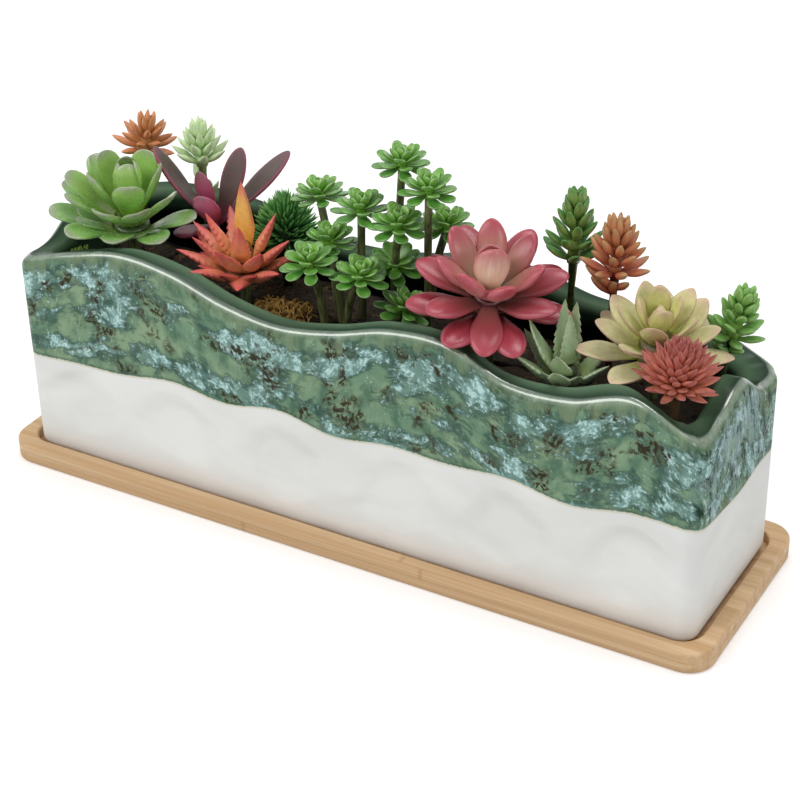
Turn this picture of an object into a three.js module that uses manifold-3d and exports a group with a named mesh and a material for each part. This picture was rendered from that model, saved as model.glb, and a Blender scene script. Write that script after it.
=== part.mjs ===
// A rectangular glazed stoneware planter on a bamboo tray, planted with moulded succulents.
// Millimetres, +Z up, +X along the planter, origin under the middle of the tray.
import * as THREE from "three";
import { mergeVertices } from "three/addons/utils/BufferGeometryUtils.js";
import Module from "manifold-3d";

const wasm = await Module();
wasm.setup();

// Pot sizes
const POT_LENGTH = 300;
const POT_WIDTH = 77;
const POT_HEIGHT = 95;
const POT_CORNER = 7;
const POT_WALL = 11;
const POT_FLOOR = 9;
const POT_EDGE = 4;
const BED_CORNER = 8;
const BED_FILLET = 3;
const FOOT_WIDTH = 9;
const FOOT_RECESS = 1.5;
const DRAIN_DIAMETER = 10;
const DRAIN_COUNT = 3;
const DRAIN_PITCH = 90;
const PRESS_DEPTH = 1;
const PRESS_PITCH = 50;
const PRESS_LEVEL = 30;
const PRESS_TOP = 58;
const RIM_OUTER_ROUND = 3.5;
const RIM_OUTER_DROP = 5;
const RIM_INNER_ROUND = 3;
const RIM_INNER_DROP = 4;

// Rim heights over the mean, evenly spaced along each side, from one corner to the next
const RIM_FRONT = [-5.5, 1.5, 7, 4.5, -3, -6.3, -2.5, 4.5, 5.2, -4.5, -4.2, 2.6];
const RIM_RIGHT = [-7.6, -5, -1.2, -12.6];
const RIM_BACK = [-14, -4, -3.5, -3, 3, 3.5, -2, -5, -4, 3, 5, 3];
const RIM_LEFT = [-2, 5, 2.8, -6];

// Tray sizes
const TRAY_LIP = 6.6;
const TRAY_CORNER = 11;
const TRAY_EDGE = 1;
const BASE_PLY = 4.5;
const RIM_PLY = 4.5;
const SEAT_CLEARANCE = 2.2;

// Soil and plant sizes that several pieces share; the headspace is the soil's depth under the mean rim
const HEADSPACE = 20;
const SOIL_CROWN = 1.6;
const SOIL_SHOULDER = 4;
const CLEARANCE = 0.3;
const PICK_DEPTH = 22;
const STEM_RADIUS = 2;
const HUB_RADIUS = 4.3;
const HUB_STEP = 1.4;
const HUB_HEIGHT = 3.6;
const HUB_CAP = 1;
const LEAF_ROOT = 1.4;
const OVERCUT = 1;

// Levels and spans that follow from the sizes
const SEAT_LEVEL = BASE_PLY;
const BED_LENGTH = POT_LENGTH - 2 * POT_WALL;
const BED_WIDTH = POT_WIDTH - 2 * POT_WALL;
const FLOOR_LEVEL = SEAT_LEVEL + POT_FLOOR;
const SOIL_LEVEL = SEAT_LEVEL + POT_HEIGHT - HEADSPACE;
const degrees = THREE.MathUtils.degToRad;
const lerp = THREE.MathUtils.lerp;
const UP = new THREE.Vector3(0, 0, 1);

// Solids: a three.js geometry goes in, is joined or cut, and comes back out
function solidOf(geometry) {
  const bare = new THREE.BufferGeometry();
  bare.setAttribute("position", geometry.getAttribute("position"));
  bare.setIndex(geometry.index);
  const welded = mergeVertices(bare, 1e-4);
  const mesh = new wasm.Mesh({
    numProp: 3,
    vertProperties: new Float32Array(welded.getAttribute("position").array),
    triVerts: new Uint32Array(welded.index.array),
  });
  return new wasm.Manifold(mesh);
}

function geometryOf(solid) {
  const mesh = solid.getMesh();
  const geometry = new THREE.BufferGeometry();
  geometry.setAttribute("position", new THREE.BufferAttribute(mesh.vertProperties, 3));
  geometry.setIndex(new THREE.BufferAttribute(mesh.triVerts, 1));
  return geometry;
}

function join(geometries) {
  const solids = geometries.map(solidOf);
  return geometryOf(solids.reduce((all, next) => all.add(next)));
}

function cut(geometry, tools) {
  const solids = tools.map(solidOf);
  return geometryOf(solids.reduce((rest, tool) => rest.subtract(tool), solidOf(geometry)));
}

// A skin of triangles, grown ring by ring; a ring of one point is a tip
class Skin {
  points = [];
  faces = [];

  ring(points) {
    return points.map((point) => this.points.push(point) - 1);
  }

  bridge(low, high) {
    const count = Math.max(low.length, high.length);
    for (let k = 0; k < count; k += 1) {
      const next = (k + 1) % count;
      if (low.length > 1) this.faces.push([low[k], low[next], high[next % high.length]]);
      if (high.length > 1) this.faces.push([low[k % low.length], high[next], high[k]]);
    }
  }

  cap(ring) {
    const sum = ring.reduce((all, id) => all.add(this.points[id]), new THREE.Vector3());
    const [centre] = this.ring([sum.divideScalar(ring.length)]);
    ring.forEach((id, k) => this.faces.push([centre, id, ring[(k + 1) % ring.length]]));
  }

  geometry() {
    const volume = this.faces.reduce((sum, face) => {
      const [a, b, c] = face.map((id) => this.points[id]);
      return sum + a.dot(b.clone().cross(c));
    }, 0);
    const order = volume < 0 ? this.faces.map(([a, b, c]) => [a, c, b]) : this.faces;
    return new THREE.BufferGeometry().setFromPoints(this.points).setIndex(order.flat());
  }
}

// A closed solid through a row of rings
function loft(rings) {
  const skin = new Skin();
  const ids = rings.map((ring) => skin.ring(ring));
  if (ids[0].length > 1) skin.cap([...ids[0]].reverse());
  for (let k = 0; k + 1 < ids.length; k += 1) skin.bridge(ids[k], ids[k + 1]);
  if (ids.at(-1).length > 1) skin.cap(ids.at(-1));
  return skin.geometry();
}

// Points round a rectangle with round corners, the same number whatever the size
const LONG_STEPS = 18;
const SHORT_STEPS = 5;
const CORNER_STEPS = 3;
const RIM_STEPS = 2;
const DRAIN_SIDES = 16;
const EDGE_KNEE = 0.3;

function outline(length, width, radius, longSteps = 1, shortSteps = 1) {
  const points = [];
  const corners = [[1, -1, -90], [1, 1, 0], [-1, 1, 90], [-1, -1, 180]];
  corners.forEach(([sx, sy, start], side) => {
    const centre = new THREE.Vector2(sx * (length / 2 - radius), sy * (width / 2 - radius));
    const turn = (k) => degrees(start + (90 * k) / CORNER_STEPS);
    for (let k = 0; k <= CORNER_STEPS; k += 1) {
      const spoke = new THREE.Vector2(Math.cos(turn(k)), Math.sin(turn(k)));
      points.push(centre.clone().addScaledVector(spoke, radius));
    }
    const [nx, ny] = corners[(side + 1) % 4];
    const goal = new THREE.Vector2(nx * (length / 2 - radius), ny * (width / 2 - radius));
    const spoke = new THREE.Vector2(Math.cos(turn(CORNER_STEPS)), Math.sin(turn(CORNER_STEPS)));
    goal.addScaledVector(spoke, radius);
    const steps = side % 2 === 0 ? shortSteps : longSteps;
    const from = points.at(-1);
    for (let k = 1; k < steps; k += 1) points.push(from.clone().lerp(goal, k / steps));
  });
  return points;
}

function ringAt(points, height) {
  return points.map((point) => new THREE.Vector3(point.x, point.y, height));
}

// Bamboo tray: a base board and a rim board with the pot's seat cut through it
const SEAT_LENGTH = POT_LENGTH + 2 * SEAT_CLEARANCE;
const SEAT_WIDTH = POT_WIDTH + 2 * SEAT_CLEARANCE;
const TRAY_LENGTH = SEAT_LENGTH + 2 * TRAY_LIP;
const TRAY_WIDTH = SEAT_WIDTH + 2 * TRAY_LIP;

function trayOutline(inset) {
  return outline(TRAY_LENGTH - 2 * inset, TRAY_WIDTH - 2 * inset, TRAY_CORNER - inset);
}

function makeBasePly() {
  return loft([
    ringAt(trayOutline(TRAY_EDGE), 0),
    ringAt(trayOutline(0), TRAY_EDGE),
    ringAt(trayOutline(0), BASE_PLY),
  ]);
}

function makeRimPly() {
  const top = BASE_PLY + RIM_PLY;
  const board = loft([
    ringAt(trayOutline(0), BASE_PLY),
    ringAt(trayOutline(0), top - TRAY_EDGE),
    ringAt(trayOutline(TRAY_EDGE), top),
  ]);
  const seatOutline = outline(SEAT_LENGTH, SEAT_WIDTH, POT_CORNER + SEAT_CLEARANCE);
  const softOutline = outline(
    SEAT_LENGTH + 2 * TRAY_EDGE, SEAT_WIDTH + 2 * TRAY_EDGE, POT_CORNER + SEAT_CLEARANCE + TRAY_EDGE);
  const seat = loft([
    ringAt(seatOutline, BASE_PLY - OVERCUT),
    ringAt(seatOutline, top - TRAY_EDGE),
    ringAt(softOutline, top),
    ringAt(softOutline, top + OVERCUT),
  ]);
  return cut(board, [seat]);
}

// Wavy rim: a smooth closed curve through the heights of the four sides
function heightAlong(heights, share) {
  const at = share * heights.length;
  const k = Math.floor(at);
  const t = at - k;
  const value = (i) => heights[(k + i + heights.length) % heights.length];
  const [a, b, c, d] = [value(-1), value(0), value(1), value(2)];
  const slope = (c - a) / 2;
  const nextSlope = (d - b) / 2;
  const rise = c - b;
  return b + t * (slope + t * (3 * rise - 2 * slope - nextSlope + t * (slope + nextSlope - 2 * rise)));
}

function rimHeight(point) {
  const x = THREE.MathUtils.clamp(point.x / POT_LENGTH + 0.5, 0, 1);
  const y = THREE.MathUtils.clamp(point.y / POT_WIDTH + 0.5, 0, 1);
  const sides = [
    { heights: RIM_FRONT, gap: y * POT_WIDTH, along: x },
    { heights: RIM_RIGHT, gap: (1 - x) * POT_LENGTH, along: y },
    { heights: RIM_BACK, gap: (1 - y) * POT_WIDTH, along: 1 - x },
    { heights: RIM_LEFT, gap: x * POT_LENGTH, along: 1 - y },
  ];
  const all = sides.flatMap((side) => side.heights);
  const nearest = sides.reduce((best, side) => (side.gap < best.gap ? side : best));
  const before = sides.slice(0, sides.indexOf(nearest)).flatMap((side) => side.heights).length;
  const along = before + nearest.along * nearest.heights.length;
  return POT_HEIGHT + heightAlong(all, along / all.length);
}

// Soft hand-pressed hollows in the lower wall, fading out toward the corners
function pressed(point) {
  const onLongSide = Math.abs(point.y) > POT_WIDTH / 2 - POT_CORNER;
  const run = onLongSide ? point.x : point.y;
  const half = onLongSide ? POT_LENGTH / 2 : POT_WIDTH / 2;
  const wave = 0.5 - 0.5 * Math.cos((2 * Math.PI * (run + half)) / PRESS_PITCH);
  const edge = THREE.MathUtils.smoothstep(half - Math.abs(run), POT_CORNER, 4 * POT_CORNER);
  const depth = PRESS_DEPTH * wave * edge;
  const x = onLongSide ? point.x : point.x - Math.sign(point.x) * depth;
  const y = onLongSide ? point.y - Math.sign(point.y) * depth : point.y;
  return new THREE.Vector3(x, y, PRESS_LEVEL);
}

// The pot's outline at some depth into its wall, its corner easing from the outer to the inner radius
function wallOutline(inset, longSteps, shortSteps) {
  const radius = lerp(POT_CORNER, BED_CORNER, inset / POT_WALL);
  return outline(POT_LENGTH - 2 * inset, POT_WIDTH - 2 * inset, radius, longSteps, shortSteps);
}

function makePot() {
  const wall = (inset) => wallOutline(inset, LONG_STEPS, SHORT_STEPS);
  const outer = wall(0);
  const rimRing = (inset, drop) => wall(inset).map((point, k) => {
    return new THREE.Vector3(point.x, point.y, rimHeight(outer[k]) - drop);
  });
  const rim = [];
  for (let k = 0; k <= RIM_STEPS; k += 1) {
    const turn = degrees((90 * k) / RIM_STEPS);
    rim.push(rimRing(RIM_OUTER_ROUND * (1 - Math.cos(turn)), RIM_OUTER_DROP * (1 - Math.sin(turn))));
  }
  for (let k = 0; k <= RIM_STEPS; k += 1) {
    const turn = degrees((90 * k) / RIM_STEPS);
    const inset = POT_WALL - RIM_INNER_ROUND * (1 - Math.sin(turn));
    rim.push(rimRing(inset, RIM_INNER_DROP * (1 - Math.cos(turn))));
  }
  const body = loft([
    ringAt(wall(FOOT_WIDTH), FOOT_RECESS),
    ringAt(wall(FOOT_WIDTH), 0),
    ringAt(wall(POT_EDGE), 0),
    ringAt(wall(EDGE_KNEE * POT_EDGE), EDGE_KNEE * POT_EDGE),
    ringAt(outer, POT_EDGE),
    outer.map(pressed),
    ringAt(outer, PRESS_TOP),
    ...rim,
    ringAt(wall(POT_WALL), POT_FLOOR + BED_FILLET),
    ringAt(wall(POT_WALL + BED_FILLET), POT_FLOOR),
  ]);
  const drains = [];
  for (let k = 0; k < DRAIN_COUNT; k += 1) {
    const drill = upright(DRAIN_DIAMETER / 2, -OVERCUT, POT_FLOOR + OVERCUT, DRAIN_SIDES);
    drill.translate((k - (DRAIN_COUNT - 1) / 2) * DRAIN_PITCH, 0, 0);
    drains.push(drill);
  }
  return cut(body, drains);
}

// One leaf along +X from its base, arching up, four points round each station
function leafRings(leaf) {
  const stations = leaf.stations ?? [0, 0.42, 0.78, 1];
  const spine = new THREE.Vector3();
  let last = 0;
  return stations.map((t) => {
    const middle = degrees(lerp(leaf.rise[0], leaf.rise[1], (t + last) / 2));
    const run = (t - last) * leaf.length;
    spine.add(new THREE.Vector3(Math.cos(middle) * run, 0, Math.sin(middle) * run));
    last = t;
    if (t === 1) return [spine.clone()];
    const angle = degrees(lerp(leaf.rise[0], leaf.rise[1], t));
    const up = new THREE.Vector3(-Math.sin(angle), 0, Math.cos(angle));
    const [half, thick] = leafSection(leaf, t);
    const edge = spine.clone().addScaledVector(up, leaf.cup * half);
    const side = new THREE.Vector3(0, half, 0);
    return [
      edge.clone().add(side),
      spine.clone().addScaledVector(up, thick),
      edge.clone().sub(side),
      spine.clone().addScaledVector(up, -thick),
    ];
  });
}

// Half width and half thickness of a leaf at a share of its length
function leafSection(leaf, t) {
  const swell = THREE.MathUtils.smoothstep(t, 0, leaf.widest);
  const past = Math.max(0, (t - leaf.widest) / (1 - leaf.widest));
  const taper = Math.pow(Math.max(0, 1 - Math.pow(past, leaf.tip)), 1 / leaf.tip);
  const half = lerp(leaf.base, leaf.width, swell) * taper * 0.5;
  const thick = leaf.thickness * lerp(0.5, 1, swell) * taper * 0.5;
  return [half, thick];
}

// A leaf rolled about its own length, then carried round the stem and up to its height
function setLeaf(leaf, turn, radius, height) {
  const geometry = loft(leafRings(leaf));
  const pitch = degrees((leaf.rise[0] + leaf.rise[1]) / 2);
  geometry.rotateY(pitch);
  geometry.rotateX(degrees(leaf.roll ?? 0));
  geometry.rotateY(-pitch);
  geometry.translate(radius, 0, height);
  geometry.rotateZ(degrees(turn));
  return geometry;
}

function upright(radius, from, to, sides) {
  const rod = new THREE.CylinderGeometry(radius, radius, to - from, sides);
  rod.rotateX(Math.PI / 2);
  rod.translate(0, 0, (from + to) / 2);
  return rod;
}

// Rosettes: whorls of leaves threaded on a stem, wider hubs below and the top one closed
const HUB_PITCH = HUB_HEIGHT + CLEARANCE;
const BORE = STEM_RADIUS + CLEARANCE;
const STEM_SIDES = 8;
const LEAF_SEAT = 0.32;

function makeWhorl(form, whorl, level, above) {
  const start = whorl.start ?? 0;
  const arc = whorl.arc ?? 360;
  const step = arc / (arc === 360 ? whorl.leaves : whorl.leaves - 1);
  const sides = Math.max(5, Math.round(360 / step));
  const radius = HUB_RADIUS + above * HUB_STEP;
  const hub = upright(radius, level, level + HUB_HEIGHT, sides);
  hub.rotateZ(degrees(start + 90 - 180 / sides));
  const leaves = [];
  for (let k = 0; k < whorl.leaves; k += 1) {
    const seat = level + LEAF_SEAT * HUB_HEIGHT;
    leaves.push(setLeaf({ ...form, ...whorl }, start + k * step, radius - LEAF_ROOT, seat));
  }
  const whole = join([hub, ...leaves]);
  const top = above === 0 ? level + HUB_HEIGHT - HUB_CAP : level + HUB_HEIGHT + OVERCUT;
  return cut(whole, [upright(BORE, level - OVERCUT, top, STEM_SIDES)]);
}

function addPiece(group, name, geometry, colour, roughness) {
  geometry.computeVertexNormals();
  const material = new THREE.MeshStandardMaterial({ color: colour, roughness });
  const mesh = new THREE.Mesh(geometry, material);
  mesh.name = name;
  group.add(mesh);
  return mesh;
}

// Stands a plant's group on the soil, leaning by some degrees toward a bearing
function plantGroup(plant) {
  const group = new THREE.Group();
  group.name = `${plant.name}_plant`;
  const bearing = degrees(plant.toward ?? 0);
  const axis = new THREE.Vector3(-Math.sin(bearing), Math.cos(bearing), 0);
  group.quaternion.setFromAxisAngle(axis, degrees(plant.lean ?? 0));
  group.position.set(plant.foot[0] * BED_LENGTH / 2, plant.foot[1] * BED_WIDTH / 2, SOIL_LEVEL);
  return group;
}

// Holes that the soil gets, one for each stem, clear of it all round
const HOLE_RISE = 4;
const stemHoles = [];

function stemHole(group, radius) {
  const reach = (radius + CLEARANCE) / Math.cos(Math.PI / STEM_SIDES);
  const hole = upright(reach, -PICK_DEPTH - OVERCUT, HOLE_RISE, STEM_SIDES);
  group.updateMatrixWorld(true);
  stemHoles.push(hole.applyMatrix4(group.matrixWorld));
}

function addRosette(planting, plant) {
  const group = plantGroup(plant);
  const count = plant.whorls.length;
  const neck = HEADSPACE + plant.over;
  const top = neck + (count - 1) * HUB_PITCH + HUB_HEIGHT - HUB_CAP - CLEARANCE;
  const stem = join([upright(STEM_RADIUS, -PICK_DEPTH, top, STEM_SIDES)]);
  addPiece(group, `${plant.name}_stem`, stem, plant.stemColour, 0.7);
  plant.whorls.forEach((whorl, k) => {
    const level = neck + k * HUB_PITCH;
    const above = count - 1 - k;
    const part = above === 0 ? "heart" : `whorl_${k + 1}`;
    const geometry = makeWhorl(plant.form, whorl, level, above);
    addPiece(group, `${plant.name}_${part}`, geometry, whorl.colour ?? plant.colour, 0.5);
  });
  stemHole(group, STEM_RADIUS);
  planting.add(group);
}

// Each rosette has a foot as a share of the bed, and its lowest hub's height over the mean rim
const SPIKY = [0, 0.32, 1];
const SPIKE = { leaves: 1, base: 6, thickness: 5, colour: 0xe8a035 };
const ROSETTES = [
  {
    name: "green_rosette",
    foot: [-0.838, -0.06],
    toward: -60,
    lean: 8,
    over: 0,
    colour: 0x7fa05a,
    stemColour: 0x6a7a45,
    form: { widest: 0.66, tip: 2.3, cup: 0.16, base: 3.6, thickness: 3 },
    whorls: [
      { leaves: 7, length: 29, width: 13, rise: [36, 16], start: 150, arc: 212 },
      { leaves: 6, length: 28, width: 13, rise: [46, 44], start: 160, arc: 196 },
      { leaves: 5, length: 25, width: 13, rise: [58, 70], start: 18 },
      { leaves: 4, length: 20, width: 9.5, rise: [74, 92], start: 40 },
    ],
  },
  {
    name: "orange_aloe",
    foot: [-0.43, -0.2],
    over: -8,
    colour: 0xe07a48,
    stemColour: 0xb07a4a,
    form: { widest: 0.3, tip: 1.25, cup: 0.1, base: 4, thickness: 3.4, stations: SPIKY },
    whorls: [
      { leaves: 7, length: 23, width: 8.5, rise: [38, 24], start: 130, arc: 248 },
      { leaves: 6, length: 23, width: 8.5, rise: [46, 44], start: 140, arc: 228 },
      { leaves: 4, length: 22, width: 7.5, rise: [60, 66], start: 28 },
      { ...SPIKE, length: 28.5, width: 9, rise: [90, 94], start: 90 },
    ],
  },
  {
    name: "pink_echeveria",
    foot: [0.345, -0.08],
    toward: -60,
    lean: 17,
    over: 9.5,
    colour: 0xc9606f,
    stemColour: 0xb9686c,
    form: { widest: 0.6, tip: 1.8, cup: 0.16, base: 3.8, thickness: 4 },
    whorls: [
      { leaves: 7, length: 26, width: 12, rise: [12, 4], start: 10 },
      { leaves: 7, length: 26, width: 12, rise: [26, 24], start: 36 },
      { leaves: 7, length: 24, width: 11, rise: [44, 54], start: 10 },
      { leaves: 4, length: 19, width: 9, rise: [70, 88], start: 30, thickness: 3.2 },
    ],
  },
  {
    name: "pale_aloe",
    foot: [0.615, -0.5],
    over: -12,
    colour: 0xa9c7a0,
    stemColour: 0x93ad86,
    form: { widest: 0.28, tip: 1.2, cup: 0.14, base: 4, thickness: 3.2, stations: SPIKY },
    whorls: [
      { leaves: 6, length: 20, width: 8, rise: [40, 36], start: 346 },
      { leaves: 3, length: 23, width: 7.5, rise: [57, 73], start: 100, arc: 180 },
      { leaves: 2, length: 23, width: 6.5, rise: [80, 90], start: 135 },
    ],
  },
  {
    name: "cream_rosette",
    foot: [0.815, 0.1],
    toward: -60,
    lean: 8,
    over: -1.5,
    colour: 0xdccf9c,
    stemColour: 0xb9b07a,
    form: { widest: 0.55, tip: 1.6, cup: 0.14, base: 3.6, thickness: 2.8 },
    whorls: [
      { leaves: 6, length: 23, width: 12, rise: [10, 12], start: 8, arc: 255 },
      { leaves: 6, length: 21, width: 12, rise: [28, 38], start: 15, arc: 245 },
      { leaves: 5, length: 19, width: 11, rise: [48, 60], start: 68 },
      { leaves: 4, length: 15, width: 7.5, rise: [72, 88], start: 0 },
    ],
  },
];

// Sprigs: stem and leaves in one skin; the crown's core is a net of lozenges, each grown into a leaf
const BEND_OUT = 0.35;
const BEND_UP = 0.55;
const BUD_SHARE = 0.7;

function sprigPath(sprig) {
  const [x, y, over] = sprig.head;
  const head = new THREE.Vector3(x, y, HEADSPACE + over);
  const bend = new THREE.Vector3(BEND_OUT * head.x, BEND_OUT * head.y, BEND_UP * head.z);
  return new THREE.CatmullRomCurve3([new THREE.Vector3(), bend, head]);
}

// Carries a point of the crown's own frame to a place on the stem, aimed along it
function placer(at, aim) {
  const turn = new THREE.Quaternion().setFromUnitVectors(UP, aim);
  return (point) => point.applyQuaternion(turn).add(at);
}

function makeSprig(sprig) {
  const skin = new Skin();
  const path = sprigPath(sprig);
  const step = (2 * Math.PI) / sprig.sides;
  const rows = [];
  const addRow = (place, radius, lift, shift, leaf) => {
    const last = rows.at(-1);
    const phase = (last?.phase ?? 0) + shift;
    const points = [];
    for (let k = 0; k < sprig.sides; k += 1) {
      const turn = (k + phase / 2) * step;
      points.push(place(new THREE.Vector3(radius * Math.cos(turn), radius * Math.sin(turn), lift)));
    }
    rows.push({ ids: skin.ring(points), place, radius, lift, shift, phase, leaf });
  };
  addRow(placer(new THREE.Vector3(0, 0, -PICK_DEPTH), UP), sprig.stem, 0, 0);
  addRow(placer(new THREE.Vector3(), UP), sprig.stem, 0, 0);
  sprig.stations.forEach((station) => {
    const place = placer(path.getPoint(station.at), path.getTangent(station.at));
    const tiers = station.tiers ?? 0;
    addRow(place, sprig.stem, 0, 0);
    for (let tier = 0; tier < tiers; tier += 1) {
      const share = tier / Math.max(1, tiers - 1);
      const pitch = lerp(station.rise[0], station.rise[1], share);
      const length = lerp(station.length[0], station.length[1], share);
      const width = lerp(station.width[0], station.width[1], share);
      const leaf = { ...station.form, length, width, rise: [pitch, pitch + station.curl] };
      const radius = lerp(station.core, station.core * station.taper, share);
      addRow(place, radius, ((tier + 1) * station.height) / (tiers + 1), 1, leaf);
    }
    if (tiers > 0) addRow(place, Math.min(sprig.stem, station.core * station.taper), station.height, 1);
  });
  const top = rows.at(-1);
  const crown = sprig.stations.at(-1);
  const bud = top.place(new THREE.Vector3(0, 0, crown.height + BUD_SHARE * crown.length[1]));
  skin.cap([...rows[0].ids].reverse());
  for (let k = 0; k + 1 < rows.length; k += 1) joinRows(skin, rows[k], rows[k + 1]);
  rows.forEach((row, k) => {
    if (row.leaf) growLeaves(skin, rows[k - 1], row, rows[k + 1]);
  });
  skin.bridge(top.ids, skin.ring([bud]));
  return skin.geometry();
}

// Plain rows meet in squares, staggered rows in triangles, but for those that belong to a leaf
function joinRows(skin, low, high) {
  if (high.shift === 0) {
    skin.bridge(low.ids, high.ids);
    return;
  }
  const count = low.ids.length;
  for (let k = 0; k < count; k += 1) {
    const next = (k + 1) % count;
    if (!low.leaf) skin.faces.push([low.ids[k], low.ids[next], high.ids[k]]);
    if (!high.leaf) skin.faces.push([low.ids[next], high.ids[next], high.ids[k]]);
  }
}

function growLeaves(skin, below, row, above) {
  const count = row.ids.length;
  const step = (2 * Math.PI) / count;
  for (let k = 0; k < count; k += 1) {
    const next = (k + 1) % count;
    const turn = (k + (row.phase + 1) / 2) * step;
    const root = new THREE.Vector3(row.radius * Math.cos(step / 2), 0, row.lift);
    const carry = (point) => row.place(point.add(root).applyAxisAngle(UP, turn));
    let ring = [row.ids[next], above.ids[k], row.ids[k], below.ids[next]];
    leafRings(row.leaf).slice(1).forEach((points) => {
      const ids = skin.ring(points.map(carry));
      skin.bridge(ring, ids);
      ring = ids;
    });
  }
}

function addSprig(planting, sprig) {
  const group = plantGroup(sprig);
  const collar = { ...sprig.crown, at: sprig.collar, tiers: 1, height: COLLAR_HEIGHT };
  const stations = STEM_STATIONS.map((station) => (station.at === sprig.collar ? collar : station));
  const geometry = makeSprig({ ...sprig, stations: [...stations, sprig.crown] });
  addPiece(group, sprig.name, geometry, sprig.colour, 0.55);
  stemHole(group, sprig.stem);
  planting.add(group);
}

const STEM_STATIONS = [{ at: 0.25 }, { at: 0.5 }, { at: 0.75 }];
const COLLAR_HEIGHT = 4;
const FINGER = { thickness: 2.6, widest: 0.52, tip: 1.8, cup: 0, base: 2, stations: [0, 0.4, 0.75, 1] };
const DART = { ...FINGER, tip: 1.4, stations: [0, 0.5, 1] };
const SEDUM = { at: 1, core: 2.8, taper: 0.7, curl: 10, width: [4.6, 2.8], form: FINGER };

// Each sprig has a foot as a share of the bed, and a head: its offset from the foot and height over the rim
const SPRIGS = [
  {
    name: "rust_sedum",
    foot: [-0.94, 0.84],
    head: [6, -2, 21.5],
    stem: 1.5,
    sides: 6,
    crown: { ...SEDUM, height: 13, tiers: 4, length: [13, 9], rise: [0, 66] },
    colour: 0xb5622f,
  },
  {
    name: "mint_sedum",
    foot: [-0.69, 0.8],
    head: [0, -1, 20.5],
    stem: 1.5,
    sides: 5,
    crown: {
      ...SEDUM,
      height: 16,
      tiers: 3,
      length: [13, 10],
      width: [6, 3.6],
      rise: [26, 66],
      form: { ...FINGER, tip: 1.5 },
    },
    colour: 0x9cc9a0,
  },
  {
    name: "green_sedum",
    foot: [0.5, 0.82],
    head: [0, 2, 12.5],
    stem: 1.6,
    sides: 5,
    crown: { ...SEDUM, height: 28, tiers: 5, length: [13, 9], rise: [26, 64] },
    colour: 0x5f9a4a,
  },
  {
    name: "coral_sedum",
    foot: [0.64, 0.62],
    head: [1, 0, 15.5],
    stem: 1.6,
    sides: 6,
    crown: { ...SEDUM, height: 22, tiers: 5, length: [13, 9], rise: [8, 64] },
    colour: 0xc8735f,
  },
  {
    name: "red_ball",
    foot: [0.93, -0.6],
    head: [1.5, -1.8, 0.5],
    stem: 1.8,
    sides: 8,
    crown: {
      ...SEDUM,
      core: 4.6,
      taper: 0.6,
      height: 14,
      tiers: 5,
      length: [13, 11],
      rise: [-4, 70],
      form: DART,
    },
    colour: 0xb0585c,
  },
  {
    name: "bright_sedum",
    foot: [0.955, 0.7],
    head: [3, -0.5, 0],
    stem: 1.6,
    sides: 5,
    crown: { ...SEDUM, height: 22, tiers: 5, length: [11, 8], rise: [18, 62] },
    colour: 0x5fae4c,
  },
  {
    name: "needle_cushion",
    foot: [-0.38, 0.55],
    head: [0, 0, -1.5],
    stem: 2,
    sides: 8,
    crown: {
      ...SEDUM,
      core: 7.5,
      taper: 0.4,
      height: 16,
      tiers: 6,
      length: [10.4, 9.4],
      rise: [-10, 74],
      curl: 0,
      form: { ...DART, stations: [0, 1] },
    },
    colour: 0x2f6b35,
  },
];

// Jade cluster: each sprig has a foot, a head and perhaps a lower collar
const JADE = [
  { foot: [-0.173, 0.24], head: [-10, 6, 22.5] },
  { foot: [-0.086, 0.2], head: [2, -2, 25.5] },
  { foot: [-0.03, 0.72], head: [6, -5, 42.5] },
  { foot: [0.104, 0.4], head: [5, -7, 39.5] },
  { foot: [0, 0.34], head: [8, -9, 24.5], collar: 0.5 },
  { foot: [-0.13, 0], head: [-4, 0.2, 10.5] },
  { foot: [-0.158, -0.24], head: [1, -10.6, 9.5] },
  { foot: [-0.094, -0.2], head: [11, -7, 6.5] },
  { foot: [0.022, -0.22], head: [10, 0, -6.5] },
  { foot: [0.07, 0.78], head: [8.5, -2.5, 18.5] },
];
const ROSEBUD = {
  at: 1,
  core: 2.6,
  taper: 0.85,
  height: 6,
  tiers: 2,
  length: [9.5, 7],
  width: [7.4, 5.4],
  rise: [0, 42],
  curl: 12,
  form: { thickness: 2.2, widest: 0.62, tip: 2.3, cup: 0.1, base: 2, stations: [0, 0.45, 0.8, 1] },
};

// Purple sprig: a few long paddles, each with its own bearing and pitch
const PURPLE = {
  name: "purple_paddles",
  foot: [-0.6, 0.36],
  over: 2.5,
  stem: 2.2,
  root: 0.7,
  top: 2,
  colour: 0x6b3348,
  form: { width: 10, thickness: 4, widest: 0.62, tip: 1.9, cup: 0.1, base: 3 },
  paddles: [
    { turn: 192, rise: [46, 60], length: 40 },
    { turn: 40, rise: [64, 76], length: 35, roll: 55 },
    { turn: 58, rise: [32, 40], length: 42, roll: 12 },
    { turn: -78, rise: [50, 68], length: 21, width: 12 },
    { turn: 225, rise: [-14, 4], length: 17 },
    { turn: 262, rise: [72, 82], length: 27 },
  ],
};

function addPurple(planting) {
  const group = plantGroup(PURPLE);
  const neck = HEADSPACE + PURPLE.over;
  const paddles = PURPLE.paddles.map((paddle) => {
    return setLeaf({ ...PURPLE.form, ...paddle }, paddle.turn, PURPLE.root, neck);
  });
  const stem = upright(PURPLE.stem, -PICK_DEPTH, neck + PURPLE.top, STEM_SIDES);
  addPiece(group, PURPLE.name, join([stem, ...paddles]), PURPLE.colour, 0.5);
  stemHole(group, PURPLE.stem);
  planting.add(group);
}

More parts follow.
